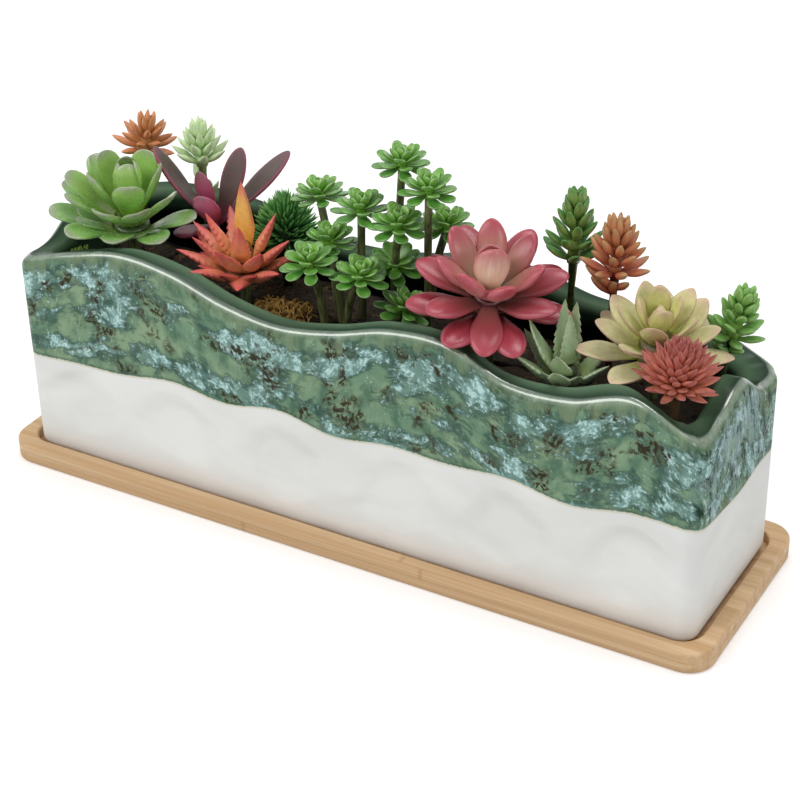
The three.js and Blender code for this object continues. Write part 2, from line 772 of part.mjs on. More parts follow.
// Soil block with a low crown, bored for every stem
function makeSoil() {
  const ring = (inset, height) => ringAt(wallOutline(POT_WALL + CLEARANCE + inset), height);
  const low = FLOOR_LEVEL + CLEARANCE;
  const block = loft([
    ring(BED_FILLET, low),
    ring(0, low + BED_FILLET),
    ring(0, SOIL_LEVEL - SOIL_CROWN),
    ring(SOIL_SHOULDER, SOIL_LEVEL),
  ]);
  return cut(block, stemHoles);
}

// Moss: flat irregular cushions lying on the soil
const MOSS = [
  { name: "moss_front", foot: [-0.27, -0.5], size: [26, 18], height: 9, colour: 0x8a6a30 },
  { name: "moss_left", foot: [-0.6, -0.7], size: [18, 10], height: 6, colour: 0x7d6433 },
  { name: "moss_corner", foot: [-0.94, -0.7], size: [9, 9], height: 15, colour: 0x5f8a3a },
];

const MOSS_SIDES = 12;
const MOSS_PROFILE = [[1, 0], [1.04, 0.3], [0.8, 0.75], [0.4, 1]];

function makeMoss(moss) {
  const rings = MOSS_PROFILE.map(([reach, lift]) => {
    const ring = [];
    for (let k = 0; k < MOSS_SIDES; k += 1) {
      const turn = degrees((360 * k) / MOSS_SIDES);
      const lump = 1 + 0.08 * Math.sin(3 * turn) + 0.05 * Math.cos(5 * turn);
      const x = 0.5 * moss.size[0] * reach * lump * Math.cos(turn);
      const y = 0.5 * moss.size[1] * reach * lump * Math.sin(turn);
      ring.push(new THREE.Vector3(x, y, lift * moss.height));
    }
    return ring;
  });
  return loft(rings);
}

// Assembly
const planter = new THREE.Group();
planter.name = "rectangular_planter";

const tray = new THREE.Group();
tray.name = "tray";
addPiece(tray, "tray_base_ply", makeBasePly(), 0xd9b27c, 0.6);
addPiece(tray, "tray_rim_ply", makeRimPly(), 0xe0bb86, 0.6);
planter.add(tray);

const pot = new THREE.Group();
pot.name = "pot";
pot.position.z = SEAT_LEVEL;
addPiece(pot, "ceramic_pot", makePot(), 0x7f9a86, 0.3);
planter.add(pot);

const planting = new THREE.Group();
planting.name = "planting";
ROSETTES.forEach((plant) => addRosette(planting, plant));
SPRIGS.forEach((sprig) => addSprig(planting, sprig));
JADE.forEach((sprig, k) => {
  const name = `jade_sprig_${k + 1}`;
  addSprig(planting, { ...sprig, name, stem: 1.6, sides: 5, crown: ROSEBUD, colour: 0x6f9f4f });
});
addPurple(planting);
addPiece(planting, "growing_medium", makeSoil(), 0x3b2a20, 0.95);
MOSS.forEach((moss) => {
  const cushion = addPiece(planting, moss.name, makeMoss(moss), moss.colour, 0.9);
  cushion.position.set(moss.foot[0] * BED_LENGTH / 2, moss.foot[1] * BED_WIDTH / 2, SOIL_LEVEL + CLEARANCE);
});
planter.add(planting);

export default planter;
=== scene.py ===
# %% [markdown]
# The imported model of the planter is the fixed frame. Each of its parts is a named object in metres
# that stays where it is, and every piece made below stands for one of them or dresses it.

# %% Load the frame
import math
import random
import bpy
import numpy as np
import bmesh
from mathutils import Matrix, Vector, noise


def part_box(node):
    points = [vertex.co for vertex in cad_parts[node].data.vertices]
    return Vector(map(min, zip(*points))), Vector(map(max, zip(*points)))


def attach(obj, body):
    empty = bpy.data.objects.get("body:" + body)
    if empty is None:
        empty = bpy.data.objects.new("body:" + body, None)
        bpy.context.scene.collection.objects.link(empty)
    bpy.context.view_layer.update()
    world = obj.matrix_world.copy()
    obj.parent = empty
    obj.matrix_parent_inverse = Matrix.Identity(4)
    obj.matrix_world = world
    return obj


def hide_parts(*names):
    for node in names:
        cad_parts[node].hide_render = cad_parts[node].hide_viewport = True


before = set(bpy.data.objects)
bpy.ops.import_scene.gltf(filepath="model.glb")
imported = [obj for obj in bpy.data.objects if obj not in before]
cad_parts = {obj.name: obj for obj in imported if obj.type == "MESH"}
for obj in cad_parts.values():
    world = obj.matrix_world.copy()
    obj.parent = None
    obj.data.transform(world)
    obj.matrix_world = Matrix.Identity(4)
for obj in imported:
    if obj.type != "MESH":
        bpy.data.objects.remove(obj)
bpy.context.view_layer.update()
MM = 0.001

# %% [markdown]
# The camera stands where the photographer stood. Its bearing, height, distance and lens were worked
# out from the straight edges of the tray and the pot. A plain camera with a matrix built from three
# axes is enough for that: right, up and back. The lens follows from the focal length in pixels of an
# 800 pixel picture.

# %% Camera
BEARING, TILT, ROLL = (math.radians(angle) for angle in (30.54, 30.98, -1.33))
AIM_RIGHT, AIM_UP, AIM_BACK = 5.4, 41.0, 823.1
FOCAL_PIXELS, PICTURE, FILM = 2005.8, 800, 36.0
back = Vector((math.sin(BEARING) * math.cos(TILT), -math.cos(BEARING) * math.cos(TILT), math.sin(TILT)))
level = Vector((math.cos(BEARING), math.sin(BEARING), 0))
plumb = back.cross(level)
right = math.cos(ROLL) * level + math.sin(ROLL) * plumb
up = math.cos(ROLL) * plumb - math.sin(ROLL) * level
camera = bpy.data.objects.new("camera", bpy.data.cameras.new("camera"))
camera.data.sensor_width = FILM
camera.data.lens = FOCAL_PIXELS * FILM / PICTURE
camera.matrix_world = Matrix((right, up, back)).transposed().to_4x4()
camera.matrix_world.translation = (right * AIM_RIGHT + up * AIM_UP + back * AIM_BACK) * MM
bpy.context.collection.objects.link(camera)
bpy.context.scene.camera = camera
bpy.context.scene.view_settings.view_transform = "Standard"
print("camera: lens", round(camera.data.lens, 1),
      "at", [round(v, 3) for v in camera.matrix_world.translation])

# %% [markdown]
# A material is a small network of nodes. Joining nodes by hand takes many lines, so one helper, the
# bench, places a node, sets it and feeds its inputs in one call. The sums that come back most have short
# names of their own, and so has covering one colour with another where a mask says so. A colour is
# written as it looks on a screen, from 0 to 255, and turned into the linear light that the shader needs.

# %% A bench for placing nodes
WHITE = [1.0, 1.0, 1.0, 1.0]


def paint(red, green, blue):
    shares = [channel / 255 for channel in (red, green, blue)]
    return [s / 12.92 if s < 0.04045 else ((s + 0.055) / 1.055) ** 2.4 for s in shares] + [1.0]


class Bench:
    def __init__(self, tree):
        self.tree = tree

    def node(self, kind, feeds=None, **settings):
        made = self.tree.nodes.new("ShaderNode" + kind)
        for key, value in settings.items():
            setattr(made, key, value)
        return self.dress(made, feeds or {})

    def dress(self, made, feeds):
        for key, value in feeds.items():
            self.feed(made.inputs[key], value)
        return made

    def feed(self, socket, value):
        if isinstance(value, bpy.types.NodeSocket):
            self.tree.links.new(value, socket)
        else:
            socket.default_value = value

    def maths(self, operation, first, second=0.0):
        return self.node("Math", {0: first, 1: second}, operation=operation).outputs[0]

    def times(self, first, second):
        return self.maths("MULTIPLY", first, second)

    def plus(self, first, second):
        return self.maths("ADD", first, second)

    def less(self, first, second):
        return self.maths("SUBTRACT", first, second)

    def inverse(self, share):
        return self.less(1.0, share)

    def swing(self, share):
        return self.less(share, 0.5)

    def span(self, share, low, high):
        return self.node("MapRange", {"Value": share, "To Min": low, "To Max": high}).outputs["Result"]

    def ease(self, value, low, high):
        feeds = {"Value": value, "From Min": low, "From Max": high}
        return self.node("MapRange", feeds, interpolation_type="SMOOTHSTEP").outputs["Result"]

    def blend(self, share, first, second):
        return self.node("Mix", {0: share, 6: first, 7: second}, data_type="RGBA").outputs[2]

    def cover(self, under, over, mask, weight):
        return self.blend(self.times(mask, weight), under, over)

    def bump(self, height, strength, depth):
        feeds = {"Strength": strength, "Distance": depth * MM, "Height": height}
        return self.node("Bump", feeds).outputs["Normal"]

    def near(self, value, middle, reach):
        return self.ease(self.maths("ABSOLUTE", self.less(value, middle)), reach, 0.0)

    def shift(self, vector, by):
        return self.node("VectorMath", {0: vector, 1: by}, operation="ADD").outputs[0]

    def shade(self, colour, strength):
        return self.node("VectorMath", {0: colour, 3: strength}, operation="SCALE").outputs[0]

    def stretch(self, vector, scale):
        return self.node("VectorMath", {0: vector, 1: scale}, operation="MULTIPLY").outputs[0]

    def cloud(self, vector, scale, detail=2.0, roughness=0.5):
        feeds = {"Vector": vector, "Scale": scale, "Detail": detail, "Roughness": roughness}
        return self.node("TexNoise", feeds).outputs["Fac"]

    def mark(self, name, output="Fac"):
        return self.node("Attribute", attribute_name=name).outputs[output]

    def place(self):
        return self.node("TexCoord").outputs["Object"]

    def split(self, vector):
        return self.node("SeparateXYZ", {0: vector}).outputs

    def joined(self, *parts):
        return self.node("CombineXYZ", dict(enumerate(parts))).outputs[0]

    def length(self, vector):
        return self.node("VectorMath", {0: vector}, operation="LENGTH").outputs["Value"]

    def group(self, tree, feeds):
        return self.node("Group", feeds, node_tree=tree).outputs


def new_finish(name):
    material = bpy.data.materials.new(name)
    material.use_nodes = True
    bench = Bench(material.node_tree)
    return material, bench, material.node_tree.nodes["Principled BSDF"]


def new_group(name, inputs, outputs):
    tree = bpy.data.node_groups.new(name, "ShaderNodeTree")
    for label, value in inputs.items():
        kind = "NodeSocketColor" if isinstance(value, list) else "NodeSocketFloat"
        kind = "NodeSocketVector" if value is None else kind
        socket = tree.interface.new_socket(label, in_out="INPUT", socket_type=kind)
        if value is not None:
            socket.default_value = value
    for label in outputs:
        kind = "NodeSocketColor" if label == "Colour" else "NodeSocketFloat"
        tree.interface.new_socket(label, in_out="OUTPUT", socket_type=kind)
    bench = Bench(tree)
    given = tree.nodes.new("NodeGroupInput").outputs
    taken = tree.nodes.new("NodeGroupOutput").inputs
    return tree, bench, given, taken


print("bench ready: screen grey 128 is", round(paint(128, 128, 128)[0], 3), "in linear light")

# %% [markdown]
# The studio is a pale floor in a white room with three large soft lamps. The floor and the room are
# plain white to the camera and to reflections only, through the Light Path node, so the light that
# falls on the object stays at a plain level. Near the object the floor is lifted less, so that it still
# shows the shadow.

# %% Floor, room and lamps
ROOM_LIGHT, FLOOR_LIFT, FLOOR_SPAN, FLOOR_DROP = 0.34, 0.34, 3.0, 0.2
SHADOW_TO, WHITE_FROM = 0.45, 1.1
LAMP_AIM = (0, 0, 0.06)
LAMPS = {
    "key_softbox": ((-0.75, -0.95, 1.15), (1.8, 0.5), 13.6),
    "top_softbox": ((0.1, 0.3, 1.25), (1.0, 0.3), 6.5),
    "fill_softbox": ((1.15, -0.45, 0.7), (0.5, 0.5), 3.6)}


def seen_directly(bench):
    path = bench.node("LightPath").outputs
    seen = bench.maths("MAXIMUM", path["Is Camera Ray"], path["Is Glossy Ray"])
    return bench.maths("MAXIMUM", seen, path["Is Transmission Ray"])


room = bpy.data.worlds.new("white_room")
room.use_nodes = True
bpy.context.scene.world = room
bench = Bench(room.node_tree)
glow = bench.plus(bench.times(seen_directly(bench), 1 - ROOM_LIGHT), ROOM_LIGHT)
bench.dress(room.node_tree.nodes["Background"], {"Color": WHITE, "Strength": glow})

floor_finish, bench, shader = new_finish("pale_floor")
far_white = bench.node("MapRange", {
    "Value": bench.length(bench.place()), "From Min": SHADOW_TO, "From Max": WHITE_FROM,
    "To Min": FLOOR_LIFT}).outputs["Result"]
bench.dress(shader, {
    "Base Color": paint(236, 236, 236), "Roughness": 0.9, "Specular IOR Level": 0.0,
    "Emission Color": WHITE, "Emission Strength": bench.times(seen_directly(bench), far_white)})
floor_mesh = bpy.data.meshes.new("studio_floor")
signs = ((-1, -1), (1, -1), (1, 1), (-1, 1))
corners = [(x * FLOOR_SPAN, y * FLOOR_SPAN, -FLOOR_DROP * MM) for x, y in signs]
floor_mesh.from_pydata(corners, [], [(0, 1, 2, 3)])
floor_mesh.materials.append(floor_finish)
floor = bpy.data.objects.new("studio_floor", floor_mesh)
bpy.context.collection.objects.link(floor)


def soft_lamp(name, place, size, watts):
    lamp = bpy.data.lights.new(name, "AREA")
    lamp.shape, lamp.size, lamp.size_y, lamp.energy = "RECTANGLE", size[0], size[1], watts
    holder = bpy.data.objects.new(name, lamp)
    away = (Vector(place) - Vector(LAMP_AIM)).normalized()
    along = (Vector((1, 0, 0)) - away * away.x).normalized()
    holder.matrix_world = Matrix((along, away.cross(along), away)).transposed().to_4x4()
    holder.matrix_world.translation = place
    bpy.context.collection.objects.link(holder)


for name, (place, size, watts) in LAMPS.items():
    soft_lamp(name, place, size, watts)
print("studio:", len(LAMPS), "soft lamps over a", 2 * FLOOR_SPAN, "m floor")

# %% [markdown]
# Four small effects come back on many surfaces here: the tint of a leaf from root to tip, a fine
# grain, specks that gather in clusters, and fibres that run one way. Each is a node group with named
# inputs, made once and set differently in every finish. A group only puts out colours, masks and
# heights. The shader itself stays in each material.

# %% Grain, specks and fibres
grain_group, bench, given, taken = new_group(
    "Fine grain", {"Vector": None, "Scale": 900.0}, ["Height"])
bench.feed(taken["Height"], bench.cloud(given["Vector"], given["Scale"], 4.0, 0.6))

speck_group, bench, given, taken = new_group(
    "Clustered specks", {"Vector": None, "Speck Scale": 1.0, "Cluster Scale": 0.1, "Cover": 0.5},
    ["Specks", "Fringe"])
clusters = bench.cloud(given["Vector"], given["Cluster Scale"], 2.0, 0.55)
lean = bench.inverse(given["Cover"])
gather = bench.ease(clusters, lean, bench.plus(lean, 0.12))
crumbs = bench.cloud(given["Vector"], given["Speck Scale"], 2.0, 0.6)
bench.feed(taken["Specks"], bench.times(gather, bench.ease(crumbs, 0.48, 0.54)))
bench.feed(taken["Fringe"], bench.times(gather, bench.ease(crumbs, 0.4, 0.5)))

fibre_group, bench, given, taken = new_group(
    "Running fibres", {"Vector": None, "Along": 10.0, "Across": 600.0}, ["Streak", "Height"])
pull = bench.joined(given["Along"], given["Across"], given["Across"])
threads = bench.cloud(bench.stretch(given["Vector"], pull), 1.0, 3.0, 0.6)
bench.feed(taken["Streak"], bench.ease(threads, 0.3, 0.7))
bench.feed(taken["Height"], threads)
print("groups:", [tree.name for tree in bpy.data.node_groups])

# %% [markdown]
# A moulded leaf is cast in one colour and then airbrushed: paler at the root, darker or redder toward
# the tip and along the edge, with another tone below. The leaf meshes carry that information as marks
# on their points, how far along, how far across, which face, which leaf and how near the heart. The
# group turns those marks into colour, so one leaf form serves every plant. The mark of the leaf also
# carries painted shade: hubs and stems are marked below zero, and the group darkens them.

# %% The tint of a leaf
leaf_group, bench, given, taken = new_group("Leaf tint", {
    "Upper": WHITE, "Under": WHITE, "Root": WHITE, "Tip": WHITE, "Edge": WHITE, "Heart": WHITE,
    "Root Reach": 0.4, "Tip Reach": 0.3, "Edge Width": 0.2, "Edge Weight": 0.5,
    "Heart Weight": 1.0, "Streaks": 0.2, "Mottle": 0.15}, ["Colour", "Height", "Wax"])
along, leaf_mark = bench.mark("along"), bench.mark("leaf")
side = bench.maths("ABSOLUTE", bench.mark("across"))
run = bench.joined(
    bench.times(along, 2.2), bench.times(bench.mark("across"), 5.0), bench.times(leaf_mark, 61.0))
vein = bench.swing(bench.cloud(run, 1.6, 3.0, 0.55))
spot = bench.swing(bench.cloud(bench.place(), 420.0, 3.0, 0.6))
ragged = bench.plus(bench.times(given["Streaks"], 1.2), 0.15)
wander = bench.plus(along, bench.times(vein, ragged))
colour = bench.blend(bench.ease(bench.mark("face"), 0.4, 0.6), given["Under"], given["Upper"])
colour = bench.blend(bench.ease(wander, given["Root Reach"], 0.0), colour, given["Root"])
near_heart = bench.times(bench.mark("inner"), given["Heart Weight"])
colour = bench.blend(near_heart, colour, given["Heart"])
heart_tip = bench.inverse(bench.times(near_heart, 0.25))
tip_start = bench.inverse(bench.times(given["Tip Reach"], heart_tip))
outer_tip = bench.inverse(bench.times(near_heart, 0.1))
tip_share = bench.times(bench.ease(wander, tip_start, 1.0), outer_tip)
colour = bench.blend(tip_share, colour, given["Tip"])
rim_start = bench.inverse(given["Edge Width"])
rim_line = bench.times(bench.ease(side, rim_start, 1.0), given["Edge Weight"])
rim_line = bench.times(rim_line, bench.ease(along, 0.1, 0.5))
colour = bench.blend(rim_line, colour, given["Edge"])
# Each leaf gets its own tone from its mark; marks below zero on hubs and stems turn this into painted
# shade.
each = bench.times(bench.swing(leaf_mark), 0.22)
veined = bench.times(vein, given["Streaks"])
spotted = bench.times(spot, given["Mottle"])
light = bench.plus(bench.plus(1.0, each), bench.plus(veined, spotted))
bench.feed(taken["Colour"], bench.shade(colour, light))
bench.feed(taken["Height"], bench.plus(vein, bench.times(spot, 0.6)))
bench.feed(taken["Wax"], bench.ease(spot, -0.2, 0.25))
print("leaf tint inputs:", len(given) - 1)


# %% [markdown]
# Every finish of a leaf is the same shader with other values: a waxy skin with a soft gloss, a little
# light passing through the flesh, and a fine bump along the veins. The values come from the tints of
# the real plant. A dusty leaf gets a higher roughness than a glossy one.

# %% A leaf finish
SKIN_SCALE, FLESH_RADIUS, FLESH_DEPTH = 1400.0, (1.0, 0.7, 0.4), 1.6


def leaf_finish(name, tints, reach=(0.4, 0.3), edge=(0.2, 0.5), heart=1.0, rough=(0.36, 0.5),
                streaks=0.25, mottle=0.2, flesh=0.12, shine=0.35, relief=0.35):
    material, bench, shader = new_finish(name)
    feeds = {label.capitalize(): paint(*tint) for label, tint in tints.items()}
    feeds |= {"Root Reach": reach[0], "Tip Reach": reach[1], "Edge Width": edge[0]}
    feeds |= {"Edge Weight": edge[1], "Heart Weight": heart, "Streaks": streaks, "Mottle": mottle}
    tint = bench.group(leaf_group, feeds)
    skin = bench.group(grain_group, {"Vector": bench.place(), "Scale": SKIN_SCALE})
    height = bench.plus(tint["Height"], bench.times(skin["Height"], 0.4))
    bench.dress(shader, {
        "Base Color": tint["Colour"], "Roughness": bench.span(tint["Wax"], *rough),
        "Normal": bench.bump(height, relief, 0.4), "Specular IOR Level": shine, "Subsurface Weight": flesh,
        "Subsurface Radius": FLESH_RADIUS, "Subsurface Scale": FLESH_DEPTH * MM})
    return material


stem_finish, bench, shader = new_finish("streaked_stem")
upright = bench.node("Mapping", {"Vector": bench.place(), "Rotation": (0, math.pi / 2, 0)}).outputs[0]
threads = bench.group(fibre_group, {"Vector": upright, "Along": 45.0, "Across": 700.0})
bench.dress(shader, {
    "Base Color": bench.blend(threads["Streak"], paint(62, 66, 36), paint(124, 132, 84)),
    "Roughness": 0.55, "Normal": bench.bump(threads["Height"], 0.5, 0.3)})
print("first finish:", stem_finish.name)


# %% [markdown]
# Meshes are built from rings of points that are skinned together, a loft. The shell below collects
# lofts and the marks on their points until one piece is complete. Then it becomes a Blender mesh,
# rides on its body, takes over from its node of the frame and gets its finish.

# %% A shell that collects lofts
class Shell:
    def __init__(self):
        self.points, self.faces, self.marks, self.count = [], [], {}, 0

    def loft(self, rings, marks=None, close=(True, True), loop=False):
        ids = []
        for ring in rings:
            ids.append(range(self.count, self.count + len(ring)))
            self.count += len(ring)
            self.points.append(np.asarray(ring, dtype=float))
        for label, values in (marks or {}).items():
            self.marks.setdefault(label, []).extend(np.concatenate([np.atleast_1d(v) for v in values]))
        pairs = list(zip(ids, ids[1:])) + ([(ids[-1], ids[0])] if loop else [])
        for low, high in pairs:
            for k in range(max(len(low), len(high))):
                n = (k + 1) % max(len(low), len(high))
                if len(high) == 1:
                    self.faces.append((low[k], low[n], high[0]))
                elif len(low) == 1:
                    self.faces.append((low[0], high[n], high[k]))
                else:
                    self.faces.append((low[k], low[n], high[n], high[k]))
        if close[0] and len(ids[0]) > 2 and not loop:
            self.faces.append(tuple(reversed(ids[0])))
        if close[1] and len(ids[-1]) > 2 and not loop:
            self.faces.append(tuple(ids[-1]))

    def piece(self, name, node, body, slot, *finishes, crease=None):
        mesh = bpy.data.meshes.new(name)
        mesh.from_pydata((np.concatenate(self.points) * MM).tolist(), [], self.faces)
        for label, values in self.marks.items():
            values = np.asarray(values, dtype=np.float32)
            kind, field = ("FLOAT_VECTOR", "vector") if values.ndim == 2 else ("FLOAT", "value")
            mesh.attributes.new(label, kind, "POINT").data.foreach_set(field, values.ravel())
        mesh.shade_smooth()
        if crease:
            mesh.set_sharp_from_angle(angle=math.radians(crease))
        for finish in finishes:
            mesh.materials.append(finish)
        made = bpy.data.objects.new(name, mesh)
        bpy.context.collection.objects.link(made)
        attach(made, body)
        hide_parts(node)
        return made


def lerp(low, high, share):
    return low + (high - low) * share


def ease(value, low, high):
    share = np.clip((np.asarray(value, dtype=float) - low) / (high - low), 0, 1)
    return share * share * (3 - 2 * share)


def spread(marks, around):
    return {label: [np.full(around, value) for value in values] for label, values in marks.items()}


def circle(radius, height, around):
    turns = np.linspace(0, 2 * np.pi, around, endpoint=False)
    return np.column_stack([radius * np.cos(turns), radius * np.sin(turns), np.full(around, height)])


def quarter_round(steps):
    turns = [math.pi / 2 * k / steps for k in range(steps + 1)]
    return [(1 - math.cos(turn), 1 - math.sin(turn)) for turn in turns]


print("shell ready, and a circle of", len(circle(1.0, 0.0, 24)), "points")


# %% [markdown]
# The pot, its bed and the tray all have the same plan: a rectangle with round corners. One function
# walks round it and gives as many points to a side as the piece needs. The corner count is high here,
# because a soft highlight on a coarse corner shows every facet.

# %% Rounded plan
CORNER_STEPS = 10


def plan(length, width, corner, long_steps=1, short_steps=1):
    points = []
    signs = [(1, -1, -90), (1, 1, 0), (-1, 1, 90), (-1, -1, 180)]
    for number, (sx, sy, start) in enumerate(signs):
        centre = np.array([sx * (length / 2 - corner), sy * (width / 2 - corner)])
        for k in range(CORNER_STEPS + 1):
            turn = math.radians(start + 90 * k / CORNER_STEPS)
            points.append(centre + corner * np.array([math.cos(turn), math.sin(turn)]))
        nx, ny, _ = signs[(number + 1) % 4]
        spoke = np.array([math.cos(turn), math.sin(turn)])
        goal = np.array([nx * (length / 2 - corner), ny * (width / 2 - corner)]) + corner * spoke
        steps = short_steps if number % 2 == 0 else long_steps
        points += [lerp(points[-1], goal, k / steps) for k in range(1, steps)]
    return np.array(points)


def ring_at(outline, height):
    return np.column_stack([outline, np.broadcast_to(height, len(outline))])


pot_low, pot_high = (np.array(corner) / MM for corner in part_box("ceramic_pot"))
POT_LENGTH, POT_WIDTH = pot_high[0] - pot_low[0], pot_high[1] - pot_low[1]
SEAT = pot_low[2]
print("pot is", round(POT_LENGTH, 1), "by", round(POT_WIDTH, 1), "mm, seated at", round(SEAT, 1))

# %% [markdown]
# The tray is glued up of two bamboo boards, and the upper one has the pot's seat cut through it. Its
# edges are only broken with sandpaper, so each edge is a small round of a few rings. A bevel modifier
# could do the same, but rings keep the flat faces truly flat.

# %% Tray boards
tray_low, tray_high = (np.array(corner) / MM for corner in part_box("tray_base_ply"))
TRAY_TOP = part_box("tray_rim_ply")[1][2] / MM
TRAY_LENGTH, TRAY_WIDTH = tray_high[0] - tray_low[0], tray_high[1] - tray_low[1]
TRAY_CORNER, SEAT_GAP, SEAT_CORNER, EDGE_ROUND, EDGE_STEPS = 11.0, 2.2, 9.2, 1.0, 4
SEAM_INSET, SEAM_HEIGHT, TRAY_LONG, TRAY_SHORT = 0.2, 0.25, 60, 20


def tray_ring(inset, height):
    length, width = TRAY_LENGTH - 2 * inset, TRAY_WIDTH - 2 * inset
    return ring_at(plan(length, width, TRAY_CORNER - inset, TRAY_LONG, TRAY_SHORT), height)


def seat_ring(outset, height):
    length, width = POT_LENGTH + 2 * SEAT_GAP + 2 * outset, POT_WIDTH + 2 * SEAT_GAP + 2 * outset
    return ring_at(plan(length, width, SEAT_CORNER + outset, TRAY_LONG, TRAY_SHORT), height)


edge = [(EDGE_ROUND * inset, EDGE_ROUND * drop) for inset, drop in quarter_round(EDGE_STEPS)]
base_board, rim_board = Shell(), Shell()
lower = [tray_ring(inset, drop) for inset, drop in reversed(edge)]
base_board.loft(lower + [tray_ring(0, SEAT - SEAM_HEIGHT), tray_ring(SEAM_INSET, SEAT)])
outer = [tray_ring(SEAM_INSET, SEAT), tray_ring(0, SEAT + SEAM_HEIGHT)]
outer += [tray_ring(inset, TRAY_TOP - drop) for inset, drop in edge]
inner = [seat_ring(inset, TRAY_TOP - drop) for inset, drop in reversed(edge)]
rim_board.loft(outer + inner + [seat_ring(0, SEAT)], loop=True)
print("tray boards:", base_board.count, "and", rim_board.count, "points")

# %% [markdown]
# Bamboo boards are pressed from strips about a thumb wide, all running the same way. Each strip has
# its own tone, fine fibres run along it, and here and there a darker knuckle crosses it. The strips
# come from rounding the distance across, and the fibres are the shared group, stretched lengthwise.

# %% Bamboo
STRIP_WIDTH, KNUCKLE_REACH = 13 * MM, 0.105
bamboo, bench, shader = new_finish("oiled_bamboo")
spot = bench.place()
split = bench.split(spot)
strip = bench.maths("FLOOR", bench.maths("DIVIDE", split["Y"], STRIP_WIDTH))
layer = bench.maths("FLOOR", bench.maths("DIVIDE", split["Z"], SEAT * MM))
strip_tone = bench.node("TexWhiteNoise", {0: bench.joined(strip, layer)}).outputs["Value"]
fibres = bench.group(fibre_group, {"Vector": spot, "Along": 9.0, "Across": 1500.0})
broad = bench.group(fibre_group, {"Vector": spot, "Along": 5.0, "Across": 260.0})
wood = bench.blend(broad["Streak"], paint(198, 160, 116), paint(222, 191, 150))
wood = bench.cover(wood, paint(186, 147, 106), fibres["Streak"], 0.4)
knuckle_at = bench.plus(split["X"], bench.times(strip_tone, 2 * KNUCKLE_REACH))
knuckle = bench.ease(bench.maths("PINGPONG", knuckle_at, KNUCKLE_REACH), 1.6 * MM, 0.2 * MM)
wood = bench.cover(wood, paint(150, 104, 62), knuckle, 0.3)
wood = bench.shade(wood, bench.plus(0.94, bench.times(strip_tone, 0.12)))
bench.dress(shader, {
    "Base Color": wood, "Roughness": bench.span(fibres["Streak"], 0.5, 0.64),
    "Normal": bench.bump(fibres["Height"], 0.3, 0.25)})
base_board.piece("tray_base_board", "tray_base_ply", "tray", "bamboo", bamboo, crease=50)
rim_board.piece("tray_rim_board", "tray_rim_ply", "tray", "bamboo", bamboo, crease=50)
print("bamboo strips:", round(TRAY_WIDTH * MM / STRIP_WIDTH, 1), "across the tray")

# %% [markdown]
# The pot was built as a box and its rim cut by hand into long waves. Two closed curves describe it:
# the height of the rim above the mean all the way round, and the height at which the green glaze ends.
# Each runs smoothly through a short row of values, side after side, so the corners join up.

# %% The rim and the glaze line
RIM_MEAN = 95.0
RIM_WAVES = {
    "front": [-5.5, 1.5, 7, 4.5, -3, -6.3, -2.5, 4.5, 5.2, -4.5, -4.2, 2.6],
    "right": [-7.6, -5, -1.2, -12.6],
    "back": [-14, -4, -3.5, -3, 3, 3.5, -2, -5, -4, 3, 5, 3],
    "left": [-2, 5, 2.8, -6]}
LINE_MEAN = 49.5
LINE_WAVES = {
    "front": [-4.2, -3, -1.8, 1.6, -1.2, 2.6, -1.8, 1.2, 0.6, 2.0, -1.6, 2.4],
    "right": [1.6, -1.4, -3.4, -1.6],
    "back": [-2.4, 1.8, -1.6, 2.2, -2.6, 1.4, -0.8, 2.6, -1.8, 1.6, -2.2, 1.2],
    "left": [2, -2.4, 1.2, -3]}


def smooth_loop(values, at):
    k = math.floor(at)
    t = at - k
    a, b, c, d = (values[(k + i) % len(values)] for i in (-1, 0, 1, 2))
    slope, onward, rise = (c - a) / 2, (d - b) / 2, c - b
    return b + t * (slope + t * (3 * rise - 2 * slope - onward + t * (slope + onward - 2 * rise)))


def wave_height(waves, x, y):
    across = min(max(x / POT_LENGTH + 0.5, 0), 1)
    deep = min(max(y / POT_WIDTH + 0.5, 0), 1)
    gaps = {"front": deep * POT_WIDTH, "right": (1 - across) * POT_LENGTH,
            "back": (1 - deep) * POT_WIDTH, "left": across * POT_LENGTH}
    shares = {"front": across, "right": deep, "back": 1 - across, "left": 1 - deep}
    near = min(gaps, key=gaps.get)
    names = list(waves)
    before = sum(len(waves[name]) for name in names[:names.index(near)])
    row = [value for name in names for value in waves[name]]
    return smooth_loop(row, before + shares[near] * len(waves[near]))


print("rim runs from", round(RIM_MEAN + min(map(min, RIM_WAVES.values())), 1), "to",
      round(RIM_MEAN + max(map(max, RIM_WAVES.values())), 1), "mm over the foot")

# %% [markdown]
# The wall is lofted from the foot up the outside, over the round lip and down to the floor inside. A
# sculpted mesh could look the same, but a loft keeps every size in the script. Thumb hollows press in
# the lower half.

# %% The pot's wall
WALL, FLOOR, FOOT_ROUND, BED_CORNER, BED_FILLET = 11.0, 9.0, 4.0, 8.0, 3.0
POT_CORNER, FOOT_WIDTH, FOOT_RECESS = 7.0, 9.0, 1.5
LIP_OUT, LIP_OUT_DROP, LIP_IN, LIP_IN_DROP, LIP_STEPS = 3.5, 5.0, 3.0, 4.0, 9
PRESS_DEPTH, PRESS_PITCH, PRESS_LEVEL, PRESS_REACH = 1.0, 50.0, 30.0, 27.0
LONG_STEPS, SHORT_STEPS, WALL_STEPS = 150, 40, 16
FOOT_BREAK, FOOT_STEPS, BED_STEPS, FILLET_STEPS = 0.3, 6, 5, 4


def wall_plan(inset):
    corner = lerp(POT_CORNER, BED_CORNER, inset / WALL)
    return plan(POT_LENGTH - 2 * inset, POT_WIDTH - 2 * inset, corner, LONG_STEPS, SHORT_STEPS)


outer_plan = wall_plan(0)
rim_of = np.array([RIM_MEAN + wave_height(RIM_WAVES, x, y) for x, y in outer_plan])
line_of = np.array([LINE_MEAN + wave_height(LINE_WAVES, x, y) for x, y in outer_plan])


